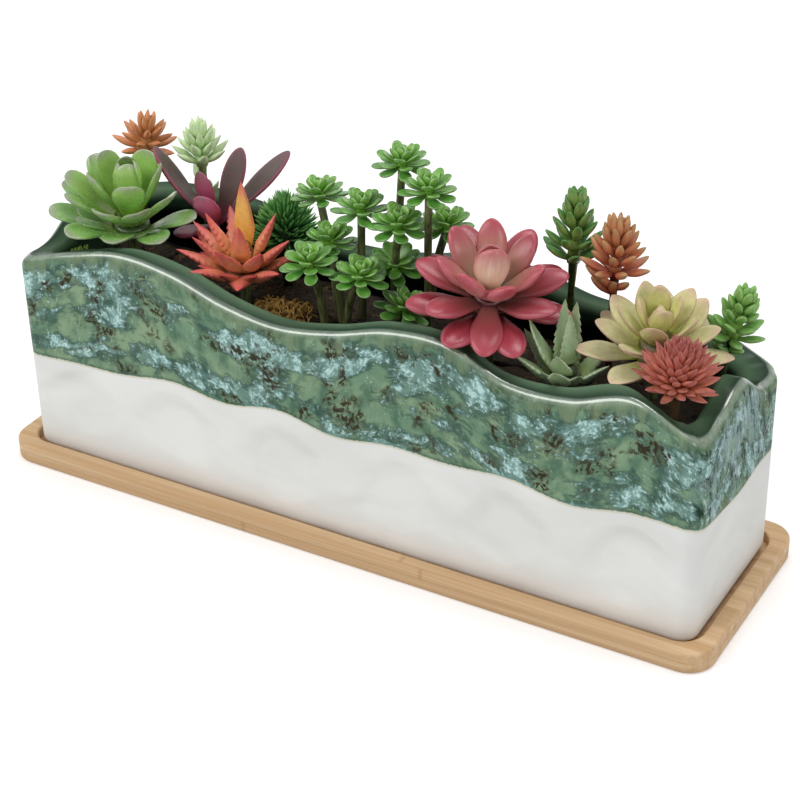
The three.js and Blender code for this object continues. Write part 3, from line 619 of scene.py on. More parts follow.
def pressed(height):
    ring = ring_at(outer_plan, height)
    swell = 0.5 + 0.5 * np.cos(np.pi * np.clip((np.asarray(height) - PRESS_LEVEL) / PRESS_REACH, -1, 1))
    for axis, half, flat in ((0, POT_LENGTH / 2, 1), (1, POT_WIDTH / 2, 0)):
        run = outer_plan[:, axis]
        facing = np.abs(outer_plan[:, flat]) > (POT_WIDTH, POT_LENGTH)[axis] / 2 - 0.01
        dent = 0.5 - 0.5 * np.cos(2 * np.pi * (run + half) / PRESS_PITCH)
        dent = dent * ease(half - np.abs(run), POT_CORNER, 4 * POT_CORNER) * facing * swell * PRESS_DEPTH
        ring[:, flat] -= np.sign(ring[:, flat]) * dent
    return ring


rings = [ring_at(wall_plan(FOOT_WIDTH), FOOT_RECESS), ring_at(wall_plan(FOOT_WIDTH), FOOT_BREAK)]
rings += [ring_at(wall_plan(inset), 0.0) for inset in (FOOT_WIDTH - FOOT_BREAK, FOOT_ROUND + FOOT_BREAK)]
rings += [ring_at(wall_plan(FOOT_ROUND * b), FOOT_ROUND * a) for a, b in quarter_round(FOOT_STEPS)]
wall_top, bed_top, bed_low = rim_of - LIP_OUT_DROP, rim_of - LIP_IN_DROP, FLOOR + BED_FILLET
rings += [pressed(lerp(FOOT_ROUND, wall_top, k / WALL_STEPS)) for k in range(1, WALL_STEPS)]
outside_rings = len(rings)
lip_round = quarter_round(LIP_STEPS)
rings += [ring_at(wall_plan(LIP_OUT * a), rim_of - LIP_OUT_DROP * b) for a, b in lip_round]
rings += [ring_at(wall_plan(WALL - LIP_IN * b), rim_of - LIP_IN_DROP * a) for a, b in lip_round]
bed_wall = wall_plan(WALL)
rings += [ring_at(bed_wall, lerp(bed_top, bed_low, k / BED_STEPS)) for k in range(1, BED_STEPS + 1)]
fillet = [(BED_FILLET * a, BED_FILLET * b) for a, b in quarter_round(FILLET_STEPS)[1:]]
rings += [ring_at(wall_plan(WALL + inset), FLOOR + rise) for inset, rise in fillet]
print("pot wall:", len(rings), "rings of", len(outer_plan), "points")

# %% [markdown]
# The glaze has to know where on the pot it lies. A painted mask would do, but the rim rises and falls, so
# each point keeps four marks: how far it is below the rim, how far above the glaze line, whether it is
# inside, and a place that is measured from the rim down, so that the bands of glaze follow the waves. The
# floor is filled between its outline and the drain holes.

# %% Marks, floor and drain holes
DRAIN_RADIUS, DRAIN_PLACES, DRAIN_SIDES, DRAIN_BREAK = 5.0, (-90.0, 0.0, 90.0), 32, 0.4
BORE_DROP = 60.0
heights = [ring[:, 2] for ring in rings]
lip_middle = outside_rings + LIP_STEPS + 1
marks = {
    "drop": [rim_of - height for height in heights],
    "line": [height - line_of for height in heights],
    "inside": [np.full(len(outer_plan), float(number >= lip_middle)) for number in range(len(rings))],
    "flow": [np.column_stack([ring[:, :2], rim_of - ring[:, 2]]) for ring in rings]}
pot_shell = Shell()
pot_shell.loft([ring + [0, 0, SEAT] for ring in rings], marks, close=(False, False))


def drain_ring(x, height, radius=DRAIN_RADIUS):
    return circle(radius, height, DRAIN_SIDES) + [x, 0, 0]


drain_loops = []
for x in DRAIN_PLACES:
    bore = [drain_ring(x, FLOOR, DRAIN_RADIUS + DRAIN_BREAK), drain_ring(x, FLOOR - DRAIN_BREAK)]
    bore.append(drain_ring(x, FOOT_RECESS))
    bore_marks = {"drop": [BORE_DROP] * 3, "line": [-BORE_DROP] * 3, "inside": [1.0] * 3}
    start = pot_shell.count
    pot_shell.loft([ring + [0, 0, SEAT] for ring in bore],
                   {**spread(bore_marks, DRAIN_SIDES), "flow": bore}, close=(False, False))
    last = pot_shell.count
    drain_loops.append((range(start, start + DRAIN_SIDES), range(last - DRAIN_SIDES, last)))


def fill_between(shell, outline_ids, hole_ids, face_up):
    points = np.concatenate(shell.points)
    sheet = bmesh.new()
    edges, back_to = [], {}
    for loop in [outline_ids, *hole_ids]:
        corners = [sheet.verts.new(points[i]) for i in loop]
        for corner, i in zip(corners, loop):
            back_to[corner] = i
        edges += [sheet.edges.new((a, b)) for a, b in zip(corners, corners[1:] + corners[:1])]
    bmesh.ops.triangle_fill(sheet, use_beauty=True, edges=edges)
    for face in sheet.faces:
        face.normal_update()
        ids = [back_to[corner] for corner in face.verts]
        shell.faces.append(tuple(ids if (face.normal.z > 0) == face_up else reversed(ids)))
    sheet.free()


ring_size = len(outer_plan)
foot_edge = range(ring_size)
floor_edge = range(ring_size * (len(rings) - 1), ring_size * len(rings))
fill_between(pot_shell, foot_edge, [low for _, low in drain_loops], False)
fill_between(pot_shell, floor_edge, [high for high, _ in drain_loops], True)
print("pot:", pot_shell.count, "points,", len(pot_shell.faces), "faces,",
      len(DRAIN_PLACES), "drain holes")

# %% [markdown]
# The green glaze is built up as a potter does it. First come the fields that everything else reads: bands
# that follow the rim and the lower edge, a slow drift, pools, haze and fine crystal. They read the place
# that was kept on the wall, bent a little by a large noise, so nothing runs in straight lines.

# %% Reactive glaze
glaze, bench, shader = new_finish("reactive_glaze")
flow = bench.mark("flow", "Vector")
drop, line, inside = bench.mark("drop"), bench.mark("line"), bench.mark("inside")
outside = bench.inverse(inside)
sway = bench.node("TexNoise", {"Vector": flow, "Scale": 0.11, "Detail": 2.0}).outputs["Color"]
waved = bench.shift(bench.shade(bench.shift(sway, (-0.5, -0.5, -0.5)), 6.0), flow)
bands = bench.cloud(bench.stretch(waved, (0.045, 0.045, 0.1)), 1.0, 4.0, 0.64)
high_band, low_band = bench.near(drop, 13.0, 9.0), bench.near(line, 7.0, 7.0)
bands = bench.plus(bands, bench.plus(bench.times(high_band, 0.13), bench.times(low_band, 0.09)))
drift = bench.cloud(bench.stretch(waved, (0.03, 0.03, 0.06)), 1.0, 3.0, 0.6)
pool = bench.cloud(bench.stretch(waved, (1.0, 1.0, 0.7)), 0.13, 3.0, 0.55)
haze = bench.cloud(bench.stretch(waved, (1.0, 1.0, 0.75)), 0.2, 3.0, 0.6)
crystal = bench.cloud(waved, 0.8, 2.0, 0.6)
print("glaze fields: bands, drift, pool, haze and crystal")

# %% [markdown]
# A sage coat covers everything, deeper green where it pools. Thicker teal rivers lie on it in the bands,
# each with a dark shore. Pale turquoise crystals float in the rivers, and iron breaks through in clusters
# of brown specks, each cluster with an olive fringe.

# %% Coat, rivers, crystals and iron
sage = bench.blend(bench.ease(drift, 0.3, 0.7), paint(140, 165, 132), paint(108, 142, 115))
coat = bench.cover(sage, paint(64, 102, 82), bench.ease(pool, 0.58, 0.34), 0.8)
river = bench.ease(bands, 0.47, 0.68)
shore = bench.times(river, bench.inverse(river))
coat = bench.cover(coat, paint(104, 138, 134), river, 0.7)
coat = bench.cover(coat, paint(28, 60, 48), shore, 2.8)
cloud_share = bench.times(bench.ease(haze, 0.4, 0.62), bench.ease(river, 0.15, 0.8))
coat = bench.cover(coat, paint(134, 172, 168), cloud_share, 0.8)
bright = bench.plus(bench.times(crystal, 0.7), bench.times(haze, 0.3))
bright = bench.plus(bright, bench.times(bench.less(river, 1.0), 0.105))
bright = bench.ease(bench.plus(bright, bench.times(cloud_share, 0.06)), 0.475, 0.69)
coat = bench.cover(coat, paint(198, 232, 228), bright, 0.9)
iron = bench.group(speck_group, {
    "Vector": waved, "Speck Scale": 0.5, "Cluster Scale": 0.085, "Cover": 0.47})
coat = bench.cover(coat, paint(92, 90, 54), iron["Fringe"], 0.6)
coat = bench.cover(coat, paint(40, 34, 20), iron["Specks"], 0.92)
print("glaze coats joined")

# %% [markdown]
# Over the lip the glaze thins to olive and hangs down in drips, with a dark line on the very top. Inside,
# painted shade takes it from sage to nearly black, so the bed looks deep, and painted light keeps it
# lighter on the end walls, which face the light. Below, it gathers in a thick darker roll along its lower
# edge.

# %% Lip, inside and lower edge
END_WALL_PAINTED_LIGHT, WALL_END = (133.0, 138.0), (144.0, 149.0)
drips = bench.cloud(bench.stretch(flow, (0.2, 0.2, 0.03)), 1.0, 3.0, 0.6)
lip = bench.ease(bench.less(drop, bench.times(bench.ease(drips, 0.4, 0.7), 7.0)), 4.5, 0.5)
lip_tone = bench.blend(bench.ease(drips, 0.35, 0.65), paint(84, 108, 80), paint(118, 138, 108))
coat = bench.cover(coat, lip_tone, lip, 0.8)
coat = bench.cover(coat, paint(44, 66, 50), bench.ease(drop, 0.9, 0.05), 0.95)
across = bench.maths("ABSOLUTE", bench.split(flow)["X"])
# Painted shade: inside, the glaze darkens from sage at the lip to nearly black down the bed.
deep = bench.blend(bench.ease(drop, 0.1, 4.2), paint(92, 116, 92), paint(38, 60, 46))
deep = bench.blend(bench.ease(drop, 4.0, 10.0), deep, paint(10, 15, 12))
# Painted light: the inner end walls, which face the lamps, are kept lighter.
deep = bench.cover(deep, paint(78, 104, 78), bench.ease(across, *END_WALL_PAINTED_LIGHT), 0.7)
coat = bench.blend(inside, coat, deep)
roll_tone = bench.blend(bench.ease(bands, 0.45, 0.6), paint(70, 102, 82), paint(106, 150, 142))
coat = bench.cover(coat, roll_tone, bench.ease(line, 2.0, 0.1), 0.7)
print("glaze lip and edges joined")

# %% [markdown]
# On the end walls the glaze has run in slanting streaks: windows of thin olive, a pale veil, dark gullies
# and painted highlights as light glints. Two stretched noises, one broad and one fine, place them. They
# stop short of the lip.

# %% Runs on the end walls
end_wall = bench.times(bench.ease(across, *WALL_END), outside)
run_wall = bench.times(end_wall, bench.ease(drop, 1.5, 5.0))
slant = bench.node("Mapping", {"Vector": waved, "Rotation": (math.radians(22), 0, 0)}).outputs[0]
runs = bench.cloud(bench.stretch(slant, (0.02, 0.09, 0.035)), 1.0, 5.0, 0.66)
fine_runs = bench.cloud(bench.stretch(slant, (0.04, 0.26, 0.085)), 1.0, 4.0, 0.65)
window = bench.times(bench.ease(runs, 0.46, 0.38), run_wall)
coat = bench.cover(coat, paint(112, 128, 86), window, 0.5)
thin = bench.plus(0.25, bench.times(bench.ease(fine_runs, 0.38, 0.6), 0.5))
veil = bench.times(bench.ease(runs, 0.43, 0.6), bench.times(thin, run_wall))
coat = bench.blend(veil, coat, paint(152, 176, 180))
gully = bench.times(bench.ease(fine_runs, 0.45, 0.37), run_wall)
coat = bench.cover(coat, paint(36, 56, 42), gully, 0.85)
# Painted highlight: pale glints laid into the colour along the fine runs.
painted_glints = bench.times(bench.ease(fine_runs, 0.55, 0.64), run_wall)
coat = bench.cover(coat, paint(196, 216, 214), painted_glints, 0.7)
print("glaze runs joined")

# %% [markdown]
# The lower half is a satin white, a little warmer toward the foot and along the seam with the green. A
# ragged line parts the two. The gloss lies in the coat of the shader: strong on the lip, faint on the
# walls, none inside.

# %% White body and gloss
clay_cloud = bench.cloud(bench.stretch(flow, (0.02, 0.02, 0.05)), 1.0, 3.0, 0.55)
white = bench.blend(bench.ease(clay_cloud, 0.35, 0.65), paint(230, 231, 228), paint(237, 238, 235))
white = bench.cover(white, paint(238, 230, 222), bench.ease(line, -32.0, -48.0), 0.5)
white = bench.cover(white, paint(204, 200, 168), bench.ease(line, -1.5, -0.3), 0.6)
ragged = bench.plus(line, bench.times(bench.swing(crystal), 1.2))
glazed = bench.maths("MAXIMUM", bench.ease(ragged, -0.25, 0.25), inside)
outer_lip = bench.times(bench.ease(drop, 3.2, 1.0), bench.ease(drop, 0.02, 0.3))
outer_lip = bench.times(outer_lip, outside)
body = bench.times(bench.less(glazed, bench.maths("MAXIMUM", end_wall, inside)), 0.1)
bench.dress(shader, {
    "Base Color": bench.blend(glazed, white, coat), "IOR": 1.05,
    "Roughness": bench.plus(bench.span(glazed, 0.42, 0.14), bench.times(bright, 0.12)),
    "Coat Weight": bench.maths("MAXIMUM", outer_lip, body), "Coat Roughness": 0.17, "Coat IOR": 2.0})
print("white body and gloss joined")

# %% [markdown]
# The relief is a bump. The rivers and crystals stand up a little, but not on the lip, and the green ends
# in a step. On the white, soft oval thumb hollows return at an even pitch, made uneven by a slow noise.

# %% Relief of the glaze and thumb hollows
THUMB_WIDE, THUMB_HIGH, THUMB_LEVEL, THUMB_DEPTH = 20.0, 15.0, 28.0, 3.6
grain = bench.group(grain_group, {"Vector": flow, "Scale": 0.35})
relief = bench.plus(bench.times(bright, 0.3), bench.times(bands, 0.6))
relief = bench.times(relief, bench.inverse(lip))
relief = bench.times(relief, bench.inverse(bench.times(end_wall, 0.8)))
relief = bench.plus(bench.times(relief, glazed), bench.times(grain["Height"], 0.12))
relief = bench.plus(relief, bench.times(bench.ease(line, -0.4, 1.4), 0.8))
split = bench.split(bench.place())
shifted = bench.plus(split["X"], 2.5 * PRESS_PITCH * MM)
aside = bench.maths("DIVIDE", bench.maths("PINGPONG", shifted, PRESS_PITCH / 2 * MM), THUMB_WIDE * MM)
above = bench.maths("DIVIDE", bench.less(split["Z"], (SEAT + THUMB_LEVEL) * MM), THUMB_HIGH * MM)
uneven = bench.cloud(bench.stretch(flow, (0.035, 0.035, 0.05)), 1.0, 1.0, 0.4)
reach = bench.plus(bench.length(bench.joined(aside, above)), bench.times(bench.swing(uneven), 0.9))
thumbs = bench.times(bench.ease(reach, 1.1, 0.5), -THUMB_DEPTH)
thumbs = bench.plus(thumbs, bench.times(uneven, 6.0))
relief = bench.plus(relief, bench.times(thumbs, bench.inverse(glazed)))
bench.dress(shader, {"Normal": bench.bump(relief, 0.5, 0.7)})
pot_shell.piece("glazed_pot", "ceramic_pot", "pot", "glaze", glaze)
print("glaze line lies between", round(line_of.min(), 1), "and", round(line_of.max(), 1),
      "mm over the foot")

# %% [markdown]
# The soil is a dark crumbly block that fills the bed. A flat top would look like rubber, so the surface
# is a net of rings pulled about by noise, with crumbs and chips of bark lying loose on it. The crumbs
# are small lofted pebbles of seven sides, each squashed and turned at random from a fixed seed.

# %% Soil with crumbs
HEADSPACE, PICK_DEPTH, CLEARANCE = 20.0, 22.0, 0.3
SOIL_TOP = SEAT + RIM_MEAN - HEADSPACE
BED_LENGTH, BED_WIDTH = POT_LENGTH - 2 * WALL, POT_WIDTH - 2 * WALL
SOIL_LOW, SOIL_SIDE = SEAT + FLOOR + CLEARANCE, SOIL_TOP - 2.2
SOIL_LONG, SOIL_SHORT, SIDE_STEPS, LUMP_HEIGHT, LUMP_SCALE = 110, 22, 8, 1.5, 0.16
SOIL_INSETS = (1.2, 3, 5, 7.5, 10, 12.5, 15, 17.5, 20, 22.5, 25, 26.6)
CRUMBS, CRUMB_SIDES, CRUMB_TILTS, CRUMB_SINK = 420, 7, (-60, -20, 25, 62), 0.9
CRUMB_SEED, CRUMB_SIZES, CRUMB_EDGE, CRUMB_SPREAD = 11, (0.5, 1.7), 4, (-0.49, 0.49)
soil_shell = Shell()


def soil_plan(inset):
    gap = WALL + CLEARANCE + inset
    corner = max(0.05, BED_CORNER - inset)
    return plan(POT_LENGTH - 2 * gap, POT_WIDTH - 2 * gap, corner, SOIL_LONG, SOIL_SHORT)


def crumble(ring):
    lumps = [noise.fractal(Vector(point) * LUMP_SCALE, 1.0, 2.0, 4) for point in ring]
    moved = ring.copy()
    moved[:, 2] += LUMP_HEIGHT * np.array(lumps)
    return moved


side_plan, side_low = soil_plan(0), SOIL_LOW + BED_FILLET
soil_rings = [ring_at(soil_plan(BED_FILLET), SOIL_LOW)]
soil_rings += [ring_at(side_plan, lerp(side_low, SOIL_SIDE, k / SIDE_STEPS)) for k in range(SIDE_STEPS + 1)]
for inset in SOIL_INSETS:
    crown = SOIL_TOP - 1.6 + 1.0 * float(ease(inset, 0, 6))
    soil_rings.append(crumble(ring_at(soil_plan(inset), crown)))
soil_shell.loft(soil_rings)


def pebble(shell, dice, centre, size):
    roll = dice.uniform(0, 6.3)
    axis = Vector([dice.gauss(0, 1) for _ in range(3)])
    turn = Matrix.Rotation(roll, 3, axis)
    radii = [size * dice.uniform(0.6, 1.3) for _ in range(3)]
    rings = []
    for tilt in map(math.radians, CRUMB_TILTS):
        ring = []
        for k in range(CRUMB_SIDES):
            spin = 2 * math.pi * k / CRUMB_SIDES
            flat = math.cos(tilt) * dice.uniform(0.8, 1.15)
            point = Vector((radii[0] * flat * math.cos(spin), radii[1] * flat * math.sin(spin),
                            radii[2] * math.sin(tilt)))
            ring.append(np.array(turn @ point) + centre)
        rings.append(np.array(ring))
    shell.loft(rings)


dice = random.Random(CRUMB_SEED)
for _ in range(CRUMBS):
    x = dice.uniform(*CRUMB_SPREAD) * (BED_LENGTH - CRUMB_EDGE)
    y = dice.uniform(*CRUMB_SPREAD) * (BED_WIDTH - CRUMB_EDGE)
    pebble(soil_shell, dice, np.array([x, y, SOIL_TOP - CRUMB_SINK]), dice.uniform(*CRUMB_SIZES))
print("soil:", soil_shell.count, "points with", CRUMBS, "crumbs")

# %% [markdown]
# Potting soil is nearly black, with brown lumps, fine dust and lighter chips of bark. The grain group is
# placed twice, coarse and fine, and the speck group adds the chips, so no picture of soil is needed.

# %% Soil finish
soil_finish, bench, shader = new_finish("potting_soil")
spot = bench.place()
lumps = bench.group(grain_group, {"Vector": spot, "Scale": 260.0})
dust = bench.group(grain_group, {"Vector": spot, "Scale": 1300.0})
bark = bench.group(speck_group, {
    "Vector": spot, "Speck Scale": 700.0, "Cluster Scale": 120.0, "Cover": 0.45})
earth = bench.blend(bench.ease(lumps["Height"], 0.35, 0.65), paint(20, 15, 9), paint(58, 44, 27))
earth = bench.cover(earth, paint(118, 90, 50), bark["Specks"], 0.7)
relief = bench.plus(lumps["Height"], bench.times(dust["Height"], 0.5))
bench.dress(shader, {"Base Color": earth, "Roughness": 0.95, "Normal": bench.bump(relief, 0.9, 1.2)})
soil_shell.piece("potting_soil", "growing_medium", "planting", "soil", soil_finish)
print("soil top at", round(SOIL_TOP, 1), "mm")

# %% [markdown]
# Moss strands and stems are bent tubes. A curve with a bevel would make one, but it keeps no marks for the
# finish. This helper carries a ring along a path without a twist, and its points take the same marks as
# those of a leaf, so that the leaf finish works on strands and stems as well.

# %% A bent tube
def tube(shell, path, radii, around, marks):
    path = np.asarray(path, dtype=float)
    along = np.gradient(path, axis=0)
    along /= np.linalg.norm(along, axis=1)[:, None]
    side = np.cross(along[0], [0.31, 0.17, 0.94])
    rings = []
    for point, aim, radius in zip(path, along, np.broadcast_to(radii, len(path))):
        side = side - aim * side.dot(aim)
        side /= np.linalg.norm(side)
        over = np.cross(aim, side)
        turns = np.linspace(0, 2 * np.pi, around, endpoint=False)
        rings.append(point + radius * (np.outer(np.cos(turns), side) + np.outer(np.sin(turns), over)))
    shell.loft(rings, spread(marks, around))


def leaf_marks(count, along, face, leaf, inner):
    return {"along": along, "across": [0.0] * count, "face": [face] * count,
            "leaf": [leaf] * count, "inner": [inner] * count}


print("marks on a tube or leaf:", ", ".join(leaf_marks(1, [0.0], 1.0, 0.5, 0.0)))

# %% [markdown]
# Dry moss lies on the soil in matted tufts. Hair would be the usual tool, but it doesn't export, so each
# tuft is a low lumpy cushion under a tangle of thin bent tubes. A tube follows a random arc that starts
# and ends near the cushion, and the mark along it lets the colour change from root to tip.

# %% Moss tufts
TUFT_SIDES, TUFT_TIERS = 20, ((-0.1, 0.86), (0.14, 0.9), (0.38, 0.66), (0.5, 0.3))
STRAND_POINTS, STRAND_SIDES, STRAND_RADII = 7, 5, (0.42, 0.2)
MOSS_TUFTS = {
    "moss_front": ((-0.27, -0.5), (26, 18), 9, 260, "moss_brown"),
    "moss_left": ((-0.6, -0.7), (18, 10), 6, 110, "moss_brown"),
    "moss_corner": ((-0.94, -0.7), (9, 9), 15, 90, "moss_green")}


def moss_tuft(name, foot, size, height, strands):
    shell, dice = Shell(), random.Random(name)
    centre = np.array([foot[0] * BED_LENGTH / 2, foot[1] * BED_WIDTH / 2, SOIL_TOP])
    rings = []
    for lift, reach in TUFT_TIERS:
        turns = np.linspace(0, 2 * np.pi, TUFT_SIDES, endpoint=False)
        lump = reach * (1 + 0.08 * np.sin(3 * turns) + 0.05 * np.cos(5 * turns)) / 2
        x, y = size[0] * lump * np.cos(turns), size[1] * lump * np.sin(turns)
        rings.append(centre + np.column_stack([x, y, np.full(TUFT_SIDES, lift * height)]))
    marks = leaf_marks(len(rings), [0.1] * len(rings), 1.0, 0.5, 0.0)
    shell.loft(rings, spread(marks, TUFT_SIDES))
    for _ in range(strands):
        spin, reach = dice.uniform(0, 2 * math.pi), math.sqrt(dice.random()) * 0.44
        root = np.array([size[0] * reach * math.cos(spin), size[1] * reach * math.sin(spin), 0.2 * height])
        away = dice.uniform(0, 2 * math.pi)
        span = dice.uniform(0.2, 0.5) * min(size)
        lean = np.array([span * math.cos(away), span * math.sin(away), 0])
        peak = height * dice.uniform(0.25, 0.85) * (1 - 1.3 * reach * reach)
        twist = dice.uniform(-1.2, 1.2)
        limit = np.array(size) * 0.52
        shares = np.linspace(0, 1, STRAND_POINTS)
        path = []
        for t in shares:
            bend = np.array([-lean[1], lean[0], 0]) * twist * t * (1 - t)
            rise = peak * math.sin(math.pi * min(1, 0.15 + 0.75 * t))
            point = root + lean * t + bend + [0, 0, rise]
            point[:2] = np.clip(point[:2], -limit, limit)
            path.append(centre + point)
        marks = leaf_marks(STRAND_POINTS, list(shares), 1.0, dice.random(), 0.0)
        tube(shell, path, np.linspace(*STRAND_RADII, STRAND_POINTS), STRAND_SIDES, marks)
    return shell


MOSS_TINTS = {
    # The dark root tint of the brown moss is painted shade: it darkens the cushion and the foot of every
    # strand, under the tangle.
    "moss_brown": {"upper": (132, 100, 46), "under": (80, 58, 28), "root": (44, 31, 15),
                   "tip": (172, 136, 70), "edge": (132, 100, 46), "heart": (132, 100, 46)},
    "moss_green": {"upper": (112, 138, 58), "under": (80, 96, 40), "root": (66, 74, 34),
                   "tip": (146, 168, 84), "edge": (112, 138, 58), "heart": (112, 138, 58)}}
moss_finishes = {slot: leaf_finish(slot + "_strands", tints, reach=(0.3, 0.5), rough=(0.7, 0.9),
                                   flesh=0.0) for slot, tints in MOSS_TINTS.items()}
for name, (foot, size, height, strands, slot) in MOSS_TUFTS.items():
    moss_tuft(name, foot, size, height, strands).piece(
        name + "_tuft", name, "planting", slot, moss_finishes[slot])
print("moss tufts:", len(MOSS_TUFTS))


# %% [markdown]
# A succulent leaf is a thick, rounded blade: it starts narrow, swells, and closes in a round or pointed
# tip, and its edges turn up a little. Here it is a row of oval rings on a bent spine, closer together
# toward the tip so that it closes softly. Teeth, a channel on top and a twist are options, and a small
# random change makes every leaf of a whorl its own.

# %% One leaf
SPINE_STEPS, LEAF_STATIONS, LEAF_AROUND = 160, 16, 14


def leaf_rings(leaf, stations=LEAF_STATIONS, around=LEAF_AROUND):
    t = np.sin(np.linspace(0, np.pi / 2, stations))
    fine = np.linspace(0, 1, SPINE_STEPS + 1)
    pitch = np.radians(lerp(leaf["rise"][0], leaf["rise"][1], fine))
    step = leaf["length"] / SPINE_STEPS
    mid = (pitch[1:] + pitch[:-1]) / 2
    spine_x = np.concatenate([[0], np.cumsum(np.cos(mid))]) * step
    spine_z = np.concatenate([[0], np.cumsum(np.sin(mid))]) * step
    swell = ease(t, 0, leaf["widest"])
    past = np.clip((t - leaf["widest"]) / (1 - leaf["widest"]), 0, 1)
    taper = np.power(np.clip(1 - past ** leaf["tip"], 0, 1), 1 / leaf["tip"])
    half = lerp(leaf["base"], leaf["width"], swell) * taper / 2
    thick = leaf["thickness"] * lerp(0.5, 1, swell) * taper / 2
    angle, x, z = (np.interp(t, fine, row) for row in (pitch, spine_x, spine_z))
    phi = np.linspace(0, 2 * np.pi, around, endpoint=False)
    across, face = np.cos(phi), np.sin(phi)
    teeth = leaf.get("teeth", 0)
    saw = (1 - np.mod(t * teeth, 1.0)) if teeth else np.zeros(stations)
    rings, marks = [], {"along": [], "across": [], "face": []}
    for k in range(stations):
        last = k == stations - 1
        wide = half[k] * across * (1 + leaf.get("tooth", 0) * saw[k] * np.abs(across) ** 8)
        high = thick[k] * face - leaf.get("channel", 0) * thick[k] * np.clip(face, 0, 1) ** 2
        high = high + leaf["cup"] * half[k] * across ** 2
        turn = math.radians(leaf.get("twist", 0)) * t[k]
        aside = wide * math.cos(turn) - high * math.sin(turn)
        above = wide * math.sin(turn) + high * math.cos(turn)
        sway = leaf.get("sway", 0) * leaf["length"] * t[k] ** 2
        forward, upward = x[k] - math.sin(angle[k]) * above, z[k] + math.cos(angle[k]) * above
        count = 1 if last else around
        rings.append(np.column_stack([forward, aside + sway, upward])[:count])
        marks["along"].append(np.full(count, t[k]))
        marks["across"].append(np.zeros(1) if last else across)
        marks["face"].append(np.full(1, 0.5) if last else 0.5 + 0.5 * face)
    return rings, marks


def add_leaf(shell, leaf, turn, root, carry, shade, inner, stations=LEAF_STATIONS, around=LEAF_AROUND):
    rings, marks = leaf_rings(leaf, stations, around)
    pitch = math.radians(sum(leaf["rise"]) / 2)
    rolled = Matrix.Rotation(-pitch, 3, "Y") @ Matrix.Rotation(math.radians(leaf.get("roll", 0)), 3, "X")
    rolled = np.array(rolled @ Matrix.Rotation(pitch, 3, "Y"))
    turned = np.array(Matrix.Rotation(math.radians(turn), 3, "Z"))
    rings = [carry((ring @ rolled.T + [root[0], 0, root[1]]) @ turned.T) for ring in rings]
    marks["leaf"] = [np.full(len(ring), shade) for ring in rings]
    marks["inner"] = [np.full(len(ring), inner) for ring in rings]
    shell.loft(rings, marks)


def varied(leaf, dice, amount=1.0):
    changed = dict(leaf)
    changed["length"] = leaf["length"] * (1 - 0.07 * amount * dice.random())
    changed["width"] = leaf["width"] * (1 + 0.06 * amount * dice.uniform(-1, 1))
    nod = 3.0 * amount * dice.uniform(-1, 1)
    changed["rise"] = (leaf["rise"][0] + nod, leaf["rise"][1] + nod)
    changed["twist"] = leaf.get("twist", 0) + 9 * amount * dice.uniform(-1, 1)
    changed["sway"] = 0.05 * amount * dice.uniform(-1, 1)
    return changed


sample = dict(length=25, width=13, thickness=4, rise=(8, 14), widest=0.6, tip=1.8, cup=0.16, base=3.8)
sample_rings, _ = leaf_rings(sample)
print("a leaf:", sum(len(ring) for ring in sample_rings), "points")

# %% [markdown]
# A moulded plant is pushed into the soil on its stem, and each whorl of leaves is threaded on the stem by
# a small hub. A plant leans by turning everything about its foot in the soil. The hub is a turned ring
# with painted shade on it, since only its edge shows between the leaves, where the shade falls.

# %% Foot and hub of a plant
HUB_RADIUS, HUB_STEP, HUB_HEIGHT, HUB_BORE, HUB_SIDES = 4.3, 1.4, 3.6, 2.4, 24
# Painted shade marks: the leaf tint darkens a hub to about a third and a stem to about a fifth.
HUB_PITCH, HUB_PAINTED_SHADE, STEM_PAINTED_SHADE = HUB_HEIGHT + CLEARANCE, -2.4, -3.2


def stand(foot, toward=0, lean=0):
    bearing = math.radians(toward)
    axis = Vector((-math.sin(bearing), math.cos(bearing), 0))
    turn = np.array(Matrix.Rotation(math.radians(lean), 3, axis))
    place = np.array([foot[0] * BED_LENGTH / 2, foot[1] * BED_WIDTH / 2, SOIL_TOP])
    return lambda points: np.asarray(points) @ turn.T + place


def add_hub(shell, radius, low, carry, inner, closed):
    high = low + HUB_HEIGHT
    profile = [(radius - 1.6, low), (radius - 1.0, low + 0.8), (radius - 1.2, high - 0.8)]
    profile += [(radius - 1.8, high)]
    profile += [(0.4, high + 0.6)] if closed else [(HUB_BORE, high), (HUB_BORE, low)]
    rings = [carry(circle(r, z, HUB_SIDES)) for r, z in profile]
    # The hub carries the painted shade mark, so the leaf tint darkens it like the shade between the leaves.
    marks = leaf_marks(len(rings), [0.5] * len(rings), 0.3, HUB_PAINTED_SHADE, inner)
    shell.loft(rings, spread(marks, HUB_SIDES), loop=not closed)


print("hubs are stacked", round(HUB_PITCH, 1), "mm apart")

# %% [markdown]
# Each rosette is a stack of whorls: the lowest is widest, and a closed heart sits on top. The stem comes
# over from the frame, since only a sliver of it shows. A whorl can say of single leaves, by their number,
# how far they droop, how much longer they are and how far out they stand. It can have short leaves in the
# gaps, and a heart can hold a bud.

# %% Whorls on a stem
LEAF_SINK, LEAF_SEAT, FULL_STATIONS, TOOTH_STATIONS = 1.4, 0.32, 18, 6
SHORT_LENGTH, SHORT_THICKNESS, SHORT_RISE, BUD_THICKNESS = 0.62, 0.75, (4, 2), 0.6


def singled(whorl, leaf, number):
    droop = whorl.get("droop", {}).get(number, 0)
    leaf["length"] *= whorl.get("longer", {}).get(number, 1)
    leaf["rise"] = (leaf["rise"][0] - droop, leaf["rise"][1] - 1.4 * droop)
    return leaf


